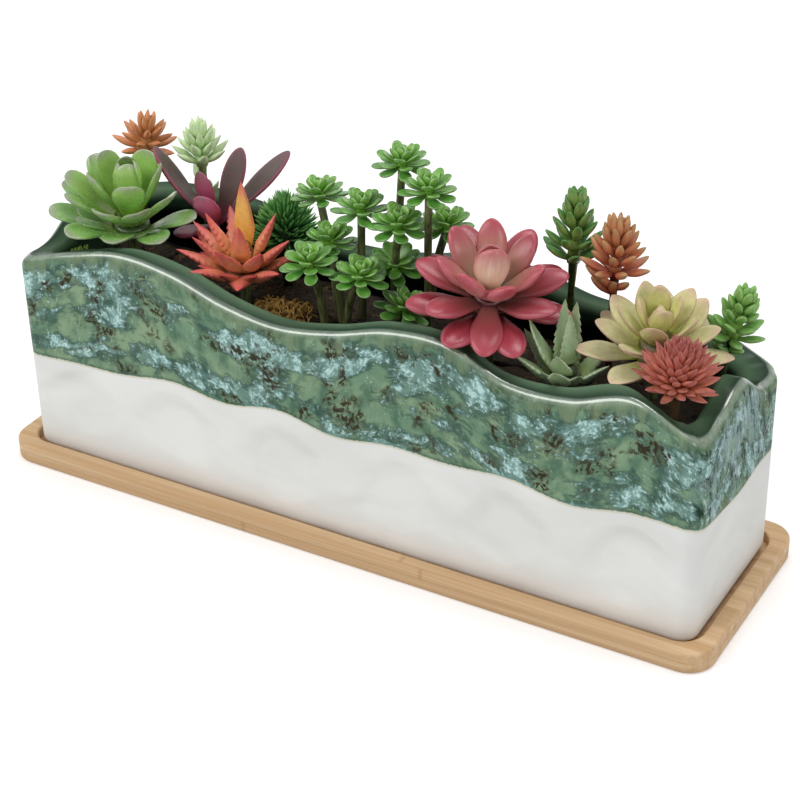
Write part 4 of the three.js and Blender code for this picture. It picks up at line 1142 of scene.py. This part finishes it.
def add_whorl(shell, whorl, leaf, root, carry, dice, inner):
    arc, leaves, start = whorl.get("arc", 360), whorl["leaves"], whorl["start"]
    step = arc / (leaves if arc == 360 else leaves - 1)
    stations = TOOTH_STATIONS * leaf["teeth"] + 1 if leaf.get("teeth") else FULL_STATIONS
    for number in range(leaves):
        turn = start + number * step + 3 * dice.uniform(-1, 1)
        foot = (root[0] + whorl.get("out", {}).get(number, 0), root[1])
        grown = singled(whorl, varied(leaf, dice), number)
        add_leaf(shell, grown, turn, foot, carry, dice.random(), inner, stations)
    small = {**leaf, "length": SHORT_LENGTH * leaf["length"],
             "thickness": SHORT_THICKNESS * leaf["thickness"],
             "rise": (leaf["rise"][0] + SHORT_RISE[0], leaf["rise"][1] + SHORT_RISE[1])}
    for number in whorl.get("short", ()):
        grown = varied(small, dice)
        add_leaf(shell, grown, start + (number + 0.5) * step, root, carry, dice.random(), inner)


def rosette(plant):
    carry = stand(plant["foot"], plant.get("toward", 0), plant.get("lean", 0))
    dice, name, count = random.Random(plant["name"]), plant["name"], len(plant["whorls"])
    total = 0
    for k, whorl in enumerate(plant["whorls"]):
        shell, above = Shell(), count - 1 - k
        leaf = {**plant["form"], **whorl}
        low, radius = HEADSPACE + plant["over"] + k * HUB_PITCH, HUB_RADIUS + above * HUB_STEP
        inner = (k / max(1, count - 1)) ** plant.get("fade", 1)
        add_hub(shell, radius, low, carry, inner, above == 0)
        root = (radius - LEAF_SINK, low + LEAF_SEAT * HUB_HEIGHT)
        add_whorl(shell, whorl, leaf, root, carry, dice, inner)
        if "bud" in whorl:
            bud = {**leaf, "length": whorl["bud"] * leaf["length"], "rise": (90, 90),
                   "thickness": BUD_THICKNESS * leaf["width"]}
            root = (0.0, low + 0.5 * HUB_HEIGHT)
            add_leaf(shell, bud, 0, root, carry, dice.random(), 1.0, FULL_STATIONS)
        part = "heart" if above == 0 else f"whorl_{k + 1}"
        shell.piece(f"{name}_{part}_leaves", f"{name}_{part}", "planting", plant["slot"], plant["finish"])
        total += shell.count
    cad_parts[name + "_stem"].material_slots[0].material = stem_finish
    print(name, count, "whorls,", total, "points")


print("a toothed leaf has", TOOTH_STATIONS, "rings for each tooth")

# %% [markdown]
# The plant at the left end has broad spoon leaves: glossy yellow-green inside the spoon, dusty pale
# green behind, and a purple-grey breath along the tip. The edge colour and the tip colour of the leaf
# tint carry that, and the heart is a fresher yellow-green.

# %% Green spoon-leaf rosette
green_finish = leaf_finish("green_spoon_leaf", {
    "upper": (126, 172, 88), "under": (146, 184, 118), "root": (186, 210, 100), "tip": (146, 156, 130),
    "edge": (120, 136, 102), "heart": (168, 204, 102)},
    reach=(0.5, 0.2), edge=(0.1, 0.45), heart=0.7, rough=(0.2, 0.34), streaks=0.12, mottle=0.1, shine=0.6,
    relief=0.1)
rosette(dict(
    name="green_rosette", foot=(-0.838, -0.06), toward=-60, lean=8, over=0, slot="green_rosette",
    finish=green_finish, form=dict(widest=0.66, tip=2.3, cup=0.16, base=7, thickness=3, channel=0.5),
    whorls=[dict(leaves=7, length=29, width=13, rise=(36, 16), start=150, arc=212, short=range(6),
                 droop={4: -2}),
            dict(leaves=6, length=28, width=13, rise=(46, 44), start=160, arc=196),
            dict(leaves=5, length=25, width=13, rise=(58, 70), start=18),
            dict(leaves=4, length=20, width=9.5, rise=(70, 108), start=40, bud=0.62)]))

# %% [markdown]
# The small aloe beside it is cast in coral, with saw teeth along its edges, an orange-tan root and one
# tall yellow flower spike. The teeth are part of the leaf form, so they catch the light at the edge.

# %% Orange aloe
orange_finish = leaf_finish("coral_aloe_leaf", {
    "upper": (222, 126, 104), "under": (218, 130, 104), "root": (222, 168, 108), "tip": (210, 90, 90),
    "edge": (198, 82, 74), "heart": (240, 186, 92)},
    reach=(0.65, 0.5), edge=(0.2, 0.6), heart=1.0, rough=(0.3, 0.45), streaks=0.3, mottle=0.6, shine=0.5)
rosette(dict(
    name="orange_aloe", foot=(-0.43, -0.2), over=-8, fade=8, slot="orange_aloe", finish=orange_finish,
    form=dict(widest=0.3, tip=1.25, cup=0.1, base=5.6, thickness=4.8, channel=0.1, teeth=9, tooth=0.4),
    whorls=[dict(leaves=7, length=23, width=7, rise=(38, 24), start=130, arc=248, short=range(5),
                 droop={4: 15}, longer={4: 0.62}),
            dict(leaves=6, length=23, width=7, rise=(46, 44), start=140, arc=228),
            dict(leaves=4, length=22, width=6.4, rise=(60, 66), start=28),
            dict(leaves=1, length=28.5, width=9, rise=(90, 94), start=90, base=6, thickness=5,
                 teeth=0, channel=0)]))

# %% [markdown]
# The pink echeveria is the largest plant. Its leaves are thick and satin, a dusty rose that lightens
# along the edges, and toward the centre they pale to cream round an egg-shaped heart.

# %% Pink echeveria
pink_finish = leaf_finish("rose_echeveria_leaf", {
    "upper": (146, 48, 58), "under": (142, 46, 56), "root": (114, 42, 46), "tip": (164, 58, 74),
    "edge": (200, 102, 114), "heart": (255, 240, 208)},
    reach=(0.5, 0.8), edge=(0.3, 0.45), heart=0.9, rough=(0.3, 0.34), streaks=0.05, mottle=0.04,
    shine=0.5, relief=0.12)
rosette(dict(
    name="pink_echeveria", foot=(0.345, -0.08), toward=-60, lean=17, over=9.5, fade=2.6,
    slot="pink_echeveria", finish=pink_finish,
    form=dict(widest=0.6, tip=1.8, cup=0.06, base=7, thickness=5, channel=0.0),
    whorls=[dict(leaves=7, length=26, width=12, rise=(12, 4), start=10, droop={5: -5}),
            dict(leaves=7, length=26, width=12.5, rise=(26, 24), start=36, droop={5: 20}),
            dict(leaves=7, length=24, width=11, rise=(44, 54), start=10, short=(5,),
                 droop={5: -9, 6: -3}),
            dict(leaves=4, length=18.6, width=12.5, rise=(62, 116), start=30, thickness=3.2, cup=0.4,
                 tip=2.2, out={3: 2.4}, longer={0: 0.84, 1: 0.94, 2: 0.84, 3: 1.24}, bud=0.66)]))

# %% [markdown]
# In front stands a pale aloe: sage green, broad at the root, channelled, with small white teeth. Its
# edge colour is nearly white and very narrow, so it lands on the teeth.

# %% Pale aloe
pale_finish = leaf_finish("sage_aloe_leaf", {
    "upper": (152, 176, 130), "under": (156, 180, 136), "root": (166, 184, 120), "tip": (152, 170, 130),
    "edge": (224, 230, 208), "heart": (172, 194, 156)},
    reach=(0.4, 0.3), edge=(0.07, 0.85), heart=0.5, rough=(0.4, 0.54), streaks=0.4, mottle=0.4)
rosette(dict(
    name="pale_aloe", foot=(0.615, -0.5), over=-12, slot="pale_aloe", finish=pale_finish,
    form=dict(widest=0.28, tip=1.2, cup=0.14, base=6.4, thickness=4.2, channel=0.5, teeth=8, tooth=0.3),
    whorls=[dict(leaves=6, length=20, width=7.2, rise=(42, 40), start=346, short=(4, 5)),
            dict(leaves=3, length=23, width=7, rise=(57, 73), start=100, arc=180,
                 droop={2: 4}, longer={2: 0.62}),
            dict(leaves=2, length=23, width=5.8, rise=(80, 90), start=135)]))

# %% [markdown]
# The cream rosette has thin pointed leaves, cream-yellow with a lime root and brownish-pink edges that
# look a little weathered. A stronger mottle gives the brown speckle.

# %% Cream rosette
cream_finish = leaf_finish("cream_rosette_leaf", {
    "upper": (212, 206, 160), "under": (206, 194, 156), "root": (190, 194, 98), "tip": (202, 176, 148),
    "edge": (182, 144, 128), "heart": (198, 198, 116)},
    reach=(0.5, 0.3), edge=(0.16, 0.75), heart=0.7, rough=(0.38, 0.52), streaks=0.3, mottle=0.5)
rosette(dict(
    name="cream_rosette", foot=(0.815, 0.1), toward=-60, lean=8, over=-1.5, slot="cream_rosette",
    finish=cream_finish, form=dict(widest=0.55, tip=1.6, cup=0.14, base=6, thickness=2.8, channel=0.4),
    whorls=[dict(leaves=6, length=23, width=12, rise=(10, 12), start=8, arc=255),
            dict(leaves=6, length=21, width=12, rise=(28, 38), start=15, arc=245),
            dict(leaves=5, length=19, width=11, rise=(48, 60), start=68),
            dict(leaves=4, length=15, width=9, rise=(58, 84), start=30, cup=0.3, tip=1.9, bud=0.6)]))

# %% [markdown]
# The smaller plants are sprigs: one bent stem with a crown of finger leaves. A curve object could carry
# the stem, but the crown has to know which way its end points. So the stem follows a smooth curve that is
# worked out here, through its foot, a bend and its head, and the crown is aimed along the end of it.

# %% A sprig's stem
BEND_OUT, BEND_UP, STEM_POINTS, STEM_SIDES, CORE_SIDES = 0.35, 0.55, 14, 10, 16
CORE_LOW, CORE_SHARES, CORE_TOP = [(0.3, -0.6), (0.8, 0.2)], (0.05, 0.3, 0.6, 0.9), [(0.1, 1.06)]


def stem_curve(head):
    head = np.array([head[0], head[1], HEADSPACE + head[2]])
    bend = head * [BEND_OUT, BEND_OUT, BEND_UP]
    points = [-bend, np.zeros(3), bend, head, 2 * head - bend]

    def at(share):
        k = 0 if share < 0.5 else 1
        w = min(1.0, share * 2 - k)
        p0, p1, p2, p3 = points[k:k + 4]
        d0, d1, d2 = (math.sqrt(np.linalg.norm(b - a)) for a, b in ((p0, p1), (p1, p2), (p2, p3)))
        m1 = ((p1 - p0) / d0 - (p2 - p0) / (d0 + d1) + (p2 - p1) / d1) * d1
        m2 = ((p2 - p1) / d1 - (p3 - p1) / (d1 + d2) + (p3 - p2) / d2) * d1
        return p1 + w * (m1 + w * (3 * (p2 - p1) - 2 * m1 - m2 + w * (2 * (p1 - p2) + m1 + m2)))
    return at


def aimed(at, share, carry, lean=1.0):
    aim = Vector(at(share) - at(share - 0.002)).normalized()
    aim = Vector((0, 0, 1)).lerp(aim, lean)
    turn = np.array(Vector((0, 0, 1)).rotation_difference(aim).to_matrix())
    return lambda points: carry(np.asarray(points) @ turn.T + at(share))


def add_core(shell, crown, carry, inner=0.6):
    middle = [(lerp(1, crown["taper"], s), s * 0.9 + 0.05) for s in CORE_SHARES]
    profile = CORE_LOW + middle + CORE_TOP
    radius, height = crown["core"], crown["height"]
    rings = [carry(circle(r * radius * 0.9, s * height, CORE_SIDES)) for r, s in profile]
    marks = leaf_marks(len(rings), [0.05] * len(rings), 0.6, 0.5, inner)
    shell.loft(rings, spread(marks, CORE_SIDES))


def raise_stem(name, foot, head, radius):
    shell, dice = Shell(), random.Random(name)
    carry, at = stand(foot), stem_curve(head)
    path = [[0, 0, -PICK_DEPTH], [0, 0, -8], [0, 0, -2]]
    path += [at(share) for share in np.linspace(0, 1, STEM_POINTS)]
    # The stem carries a mark of painted shade, so its leaf finish darkens it to about a fifth, like the
    # shade under the crown.
    marks = leaf_marks(len(path), [0.02] * len(path), 0.2, STEM_PAINTED_SHADE, 0.0)
    tube(shell, carry(path), radius, STEM_SIDES, marks)
    return shell, dice, carry, at


print("a stem", STEM_POINTS, "points long, its core of", CORE_SIDES, "sides")

# %% [markdown]
# The leaves of a crown stand in staggered tiers, long and flat below, short and steep above. A rounded
# core closes the gaps between the leaf roots, small leaves fill the bud, and some sprigs have a few low
# leaves along the stem. Each tier is a loop over one leaf, so a sprig is only a few sizes.

# %% A sprig's crown
CROWN_STATIONS, CROWN_AROUND, CROWN_RUFFLE, LOW_CURL = 13, 10, 1.3, 12
BUD_LEAVES, BUD_TURN, BUD_START = ((78, 0.8), (82, 0.72), (80, 0.64), (86, 0.9)), 97, 40


def crown_leaf(crown, share, rise):
    length, width = lerp(*crown["length"], share), lerp(*crown["width"], share)
    return {**crown["form"], "length": length, "width": width, "rise": rise}


def add_crown(shell, crown, carry, dice):
    sides, tiers, height = crown["sides"], crown["tiers"], crown["height"]
    step = 360 / sides
    for tier in range(tiers):
        share = tier / max(1, tiers - 1)
        pitch = lerp(*crown["rise"], share)
        leaf = crown_leaf(crown, share, (pitch, pitch + crown["curl"]))
        radius = lerp(1, crown["taper"], share) * crown["core"] * math.cos(math.radians(step / 2))
        root = (radius - 0.7, (tier + 1) * height / (tiers + 1))
        for k in range(sides):
            turn = (k + (tier + 2) / 2) * step + 5 * dice.uniform(-1, 1)
            add_leaf(shell, varied(leaf, dice, CROWN_RUFFLE), turn, root, carry, dice.random(),
                     0.8 * share, CROWN_STATIONS, CROWN_AROUND)
    for k, (pitch, size) in enumerate(BUD_LEAVES):
        leaf = {**crown["form"], "length": size * crown["length"][1], "width": 0.8 * crown["width"][1],
                "rise": (pitch, pitch + 4)}
        add_leaf(shell, leaf, BUD_START + BUD_TURN * k, (0.3, height * 0.86), carry, dice.random(), 1.0,
                 CROWN_STATIONS, CROWN_AROUND)


def sprig(plant, crown, finish):
    name = plant["name"]
    shell, dice, carry, at = raise_stem(name, plant["foot"], plant["head"], plant["stem"])
    top = aimed(at, 1.0, carry)
    add_core(shell, crown, top)
    add_crown(shell, crown, top, dice)
    for share, turn, rise, length in plant.get("low", ()):
        leaf = {**crown_leaf(crown, 0, (rise, rise + LOW_CURL)), "length": length}
        add_leaf(shell, leaf, turn, (0.6, 0.0), aimed(at, share, carry), dice.random(), 0.0,
                 CROWN_STATIONS, CROWN_AROUND)
    shell.piece(name + "_sprig", name, "planting", name, finish)
    leaves = crown["tiers"] * crown["sides"] + len(BUD_LEAVES) + len(plant.get("low", ()))
    print(name, leaves, "leaves,", shell.count, "points")


FINGER = dict(thickness=2.6, widest=0.52, tip=1.8, cup=0, base=2)
SEDUM = dict(core=2.8, taper=0.7, curl=10, width=(4.6, 2.8), form=FINGER)
print("a crown is closed by a bud of", len(BUD_LEAVES), "leaves")

# %% [markdown]
# Five sedums stand along the back. They share the finger leaf, and differ in height, pitch, leaf count
# and tint: rust, pale mint with pointed leaves, deep glossy green, coral with olive tips, bright green.

# %% Sedums
rust_finish = leaf_finish("rust_sedum_leaf", {
    "upper": (206, 134, 88), "under": (196, 108, 76), "root": (200, 144, 92), "tip": (208, 130, 86),
    "edge": (214, 152, 104), "heart": (220, 172, 114)},
    reach=(0.5, 0.3), edge=(0.3, 0.4), heart=0.7, rough=(0.26, 0.4), shine=0.5)
mint_finish = leaf_finish("mint_sedum_leaf", {
    "upper": (208, 230, 180), "under": (192, 220, 164), "root": (176, 208, 136), "tip": (218, 234, 196),
    "edge": (218, 236, 204), "heart": (208, 230, 178)},
    reach=(0.5, 0.3), edge=(0.25, 0.4), heart=0.7, rough=(0.4, 0.55))
deep_finish = leaf_finish("deep_sedum_leaf", {
    "upper": (84, 138, 64), "under": (136, 158, 80), "root": (154, 170, 90), "tip": (78, 130, 62),
    "edge": (124, 162, 92), "heart": (118, 160, 80)},
    reach=(0.3, 0.3), edge=(0.2, 0.3), heart=0.6, rough=(0.24, 0.4))
coral_finish = leaf_finish("coral_sedum_leaf", {
    "upper": (192, 112, 82), "under": (192, 98, 76), "root": (170, 80, 64), "tip": (176, 146, 98),
    "edge": (204, 132, 98), "heart": (190, 146, 96)},
    reach=(0.4, 0.4), edge=(0.25, 0.3), heart=0.8)
bright_finish = leaf_finish("bright_sedum_leaf", {
    "upper": (112, 166, 76), "under": (102, 154, 70), "root": (132, 170, 86), "tip": (124, 174, 92),
    "edge": (166, 198, 132), "heart": (138, 178, 92)},
    reach=(0.4, 0.3), edge=(0.22, 0.5), heart=0.7, rough=(0.3, 0.45))
sprig(dict(name="rust_sedum", foot=(-0.94, 0.84), head=(6, -2, 21.5), stem=1.5),
      {**SEDUM, "sides": 7, "height": 13, "tiers": 4, "length": (13, 9.5), "width": (4.0, 2.5),
       "rise": (8, 70), "form": {**FINGER, "tip": 1.5}}, rust_finish)
sprig(dict(name="mint_sedum", foot=(-0.69, 0.8), head=(0, -1, 20.5), stem=1.5,
           low=[(0.7, -40, 44, 13), (0.6, 5, 52, 12), (0.78, 150, 40, 11)]),
      {**SEDUM, "sides": 7, "height": 16, "tiers": 4, "length": (13, 10), "width": (4.6, 3.2),
       "rise": (32, 72), "form": {**FINGER, "tip": 1.3}}, mint_finish)
sprig(dict(name="green_sedum", foot=(0.5, 0.82), head=(0, 2, 12.5), stem=1.3),
      {**SEDUM, "sides": 6, "height": 28, "tiers": 6, "length": (13, 9), "width": (5.2, 3.4),
       "rise": (26, 70)}, deep_finish)
sprig(dict(name="coral_sedum", foot=(0.64, 0.62), head=(1, 0, 15.5), stem=1.4,
           low=[(0.94, 200, 30, 13), (0.94, 262, 34, 13), (0.92, 320, 30, 13), (0.84, 232, 38, 13),
                (0.86, 290, 42, 12)]),
      {**SEDUM, "sides": 7, "height": 22, "tiers": 5, "length": (13.5, 9.5), "width": (4.0, 2.6),
       "rise": (20, 70), "form": {**FINGER, "thickness": 3, "tip": 1.6}}, coral_finish)
sprig(dict(name="bright_sedum", foot=(0.955, 0.7), head=(3, -0.5, 0), stem=1.4,
           low=[(0.95, 205, 24, 10), (0.9, 258, 26, 10), (0.95, 312, 24, 10), (0.82, 232, 30, 9)]),
      {**SEDUM, "sides": 6, "height": 22, "tiers": 5, "length": (11, 8), "width": (5.0, 3.2),
       "rise": (18, 66)}, bright_finish)

# %% [markdown]
# Two sprigs are nearly round: a dusty red ball of plump pointed leaves and a dark green cushion of
# needles. Leaves on such a head sit on a spiral, each turned by the golden angle from the one before,
# which fills the ball evenly without any rows showing.

# %% Round heads
GOLDEN_TURN, UPRIGHT = 137.508, 88


def round_head(plant, crown, finish, leaves, stations, around, ruffle):
    name = plant["name"]
    shell, dice, carry, at = raise_stem(name, plant["foot"], plant["head"], plant["stem"])
    top = aimed(at, 1.0, carry)
    add_core(shell, crown, top, 0.0)
    for k in range(leaves):
        share = (k + 0.5) / leaves
        pitch = lerp(crown["rise"], UPRIGHT, share ** crown["sweep"])
        leaf = crown_leaf(crown, share, (pitch, pitch + crown["curl"] * (1 - share)))
        radius = crown["core"] * lerp(0.85, 0.08, share ** 1.6)
        root = (radius, lerp(0.12, 0.96, share) * crown["height"])
        add_leaf(shell, varied(leaf, dice, ruffle), GOLDEN_TURN * k, root, top, dice.random(), share,
                 stations, around)
    shell.piece(name + "_head", name, "planting", name, finish)
    print(name, leaves, "leaves,", shell.count, "points")


red_finish = leaf_finish("dusty_red_leaf", {
    "upper": (210, 134, 108), "under": (204, 122, 100), "root": (224, 178, 124), "tip": (166, 94, 94),
    "edge": (212, 146, 124), "heart": (186, 106, 96)},
    reach=(0.6, 0.35), edge=(0.3, 0.35), heart=0.6, rough=(0.42, 0.56))
needle_finish = leaf_finish("needle_green", {
    "upper": (84, 148, 76), "under": (66, 124, 62), "root": (40, 76, 40), "tip": (128, 190, 106),
    "edge": (96, 158, 84), "heart": (88, 150, 78)},
    reach=(0.6, 0.4), edge=(0.3, 0.3), heart=0.6, rough=(0.4, 0.5))
DART = {**FINGER, "tip": 1.4}
round_head(dict(name="red_ball", foot=(0.93, -0.6), head=(1.5, -1.8, 0.5), stem=1.8),
           {**SEDUM, "core": 3.6, "taper": 0.6, "height": 8.5, "length": (14.5, 13.5), "width": (4.0, 3.0),
            "rise": -6, "sweep": 0.7, "curl": 22, "form": {**DART, "thickness": 2}},
           red_finish, leaves=150, stations=12, around=9, ruffle=2.2)
round_head(dict(name="needle_cushion", foot=(-0.38, 0.55), head=(0, 0, -1.5), stem=2),
           {**SEDUM, "core": 7.5, "taper": 0.4, "height": 16, "length": (10.6, 9.6), "width": (1.4, 1.1),
            "rise": -10, "sweep": 1.1, "curl": 34, "form": {**DART, "thickness": 1.1, "base": 1.0}},
           needle_finish, leaves=340, stations=7, around=5, ruffle=4.0)

# %% [markdown]
# The jade in the middle is a thicket of ten sprigs, each with a rosebud of spatula leaves on an
# olive-brown streaked stem: low leaves that spread, a cup of middle leaves, and a tight lime-green
# centre. One sprig has a second, open rosebud half way up. Thin pale rims run round every leaf. Stem and
# leaves take two finishes on one piece.

# %% Jade thicket
jade_finish = leaf_finish("jade_leaf", {
    "upper": (98, 160, 66), "under": (90, 146, 64), "root": (146, 196, 74), "tip": (94, 140, 66),
    "edge": (172, 200, 146), "heart": (142, 190, 84)},
    reach=(0.4, 0.2), edge=(0.13, 0.75), heart=0.75, rough=(0.18, 0.32), shine=0.5, relief=0.15)
JADE_LEAF = dict(thickness=2.0, widest=0.66, tip=2.2, cup=0.14, base=2, channel=0.5)
JADE_TIERS = [(7, 10.4, 5.2, -6, 0.3), (6, 9.8, 5.0, 12, 0.44), (5, 8.8, 4.6, 32, 0.58),
              (4, 7.4, 4.2, 52, 0.68), (3, 5.6, 3.6, 74, 0.74)]
JADE_CORE, JADE_HEIGHT, JADE_STEM = 2.4, 6.0, 1.6
JADE_SPRIGS = [
    ((-0.173, 0.24), (-10, 6, 22.5)), ((-0.086, 0.2), (2, -2, 25.5)), ((-0.03, 0.72), (6, -5, 42.5)),
    ((0.104, 0.4), (5, -7, 39.5)), ((0, 0.34), (8, -9, 24.5)), ((-0.13, 0), (-4, 0.2, 10.5)),
    ((-0.158, -0.24), (1, -10.6, 9.5)), ((-0.094, -0.2), (11, -7, 6.5)), ((0.022, -0.22), (10, 0, -6.5)),
    ((0.07, 0.78), (8.5, -2.5, 18.5))]
COLLAR_SPRIG, COLLAR_AT, COLLAR_TIERS = 4, 0.5, JADE_TIERS[:3]
JADE_CURL, JADE_TURN, JADE_RUFFLE, JADE_AIM, LAST_TIER = 12, 36, 1.2, 0.35, len(JADE_TIERS) - 1


def rosebud(shell, carry, dice, tiers):
    for tier, (count, length, width, pitch, lift) in enumerate(tiers):
        leaf = {**JADE_LEAF, "length": length, "width": width, "rise": (pitch, pitch + JADE_CURL)}
        root = (JADE_CORE * lerp(0.75, 0.2, tier / LAST_TIER), lift * JADE_HEIGHT)
        for k in range(count):
            turn = (k + tier / 2) * 360 / count + JADE_TURN * tier + 6 * dice.uniform(-1, 1)
            add_leaf(shell, varied(leaf, dice, JADE_RUFFLE), turn, root, carry, dice.random(),
                     tier / LAST_TIER, stations=13, around=12)


for number, (foot, head) in enumerate(JADE_SPRIGS):
    name = f"jade_sprig_{number + 1}"
    shell, dice, carry, at = raise_stem(name, foot, head, JADE_STEM)
    stem_faces = len(shell.faces)
    top = aimed(at, 1.0, carry, JADE_AIM)
    add_core(shell, dict(core=JADE_CORE, taper=0.7, height=JADE_HEIGHT), top)
    rosebud(shell, top, dice, JADE_TIERS)
    if number == COLLAR_SPRIG:
        rosebud(shell, aimed(at, COLLAR_AT, carry), dice, COLLAR_TIERS)
    made = shell.piece(name + "_rosebud", name, "planting", "jade", jade_finish, stem_finish)
    for face in made.data.polygons[:stem_faces]:
        face.material_index = 1
print("jade:", len(JADE_SPRIGS), "sprigs")

# %% [markdown]
# The purple sprig is six long paddles from one stem: dark grey-brown above, magenta below and along the
# edge. The under tint of the leaf does the magenta. Some paddles also get a share of the heart tint, as a
# blush.

# %% Purple paddles
purple_finish = leaf_finish("purple_paddle", {
    "upper": (102, 88, 84), "under": (160, 72, 98), "root": (142, 64, 90), "tip": (120, 88, 92),
    "edge": (170, 78, 106), "heart": (188, 104, 134)},
    reach=(0.35, 0.2), edge=(0.3, 0.8), heart=1.0, rough=(0.28, 0.42))
PADDLE = dict(thickness=4, widest=0.62, tip=1.9, cup=0.1, base=3, channel=0.3)
PADDLES = [
    (192, (46, 60), 40, 10, 0, 0), (40, (64, 76), 35, 10, 55, 0), (58, (32, 40), 42, 10, 12, 0),
    (-78, (50, 68), 21, 12, 0, 1), (225, (-14, 4), 17, 10, 0, 0.5), (262, (72, 82), 27, 10, 0, 0.2)]
PURPLE_FOOT, PURPLE_OVER, PURPLE_STEM, PURPLE_ROOT, NECK_POINTS = (-0.6, 0.36), 2.5, 2.2, 0.7, 9
shell, dice, carry = Shell(), random.Random("purple"), stand(PURPLE_FOOT)
neck = HEADSPACE + PURPLE_OVER
stem_path = carry([[0, 0, z] for z in np.linspace(-PICK_DEPTH, neck + 1, NECK_POINTS)])
stem_radii = np.array([PURPLE_STEM] * (NECK_POINTS - 1) + [PURPLE_STEM * 0.6])
tube(shell, stem_path, stem_radii, 12, leaf_marks(NECK_POINTS, [0.0] * NECK_POINTS, 0.0, 0.5, 0.0))
for turn, rise, length, width, roll, blush in PADDLES:
    paddle = {**PADDLE, "rise": rise, "length": length, "width": width, "roll": roll}
    add_leaf(shell, paddle, turn, (PURPLE_ROOT, neck), carry, dice.random(), blush,
             stations=20, around=16)
shell.piece("purple_paddle_sprig", "purple_paddles", "planting", "purple_paddles", purple_finish)
print("purple paddles:", len(PADDLES), "leaves,", shell.count, "points")
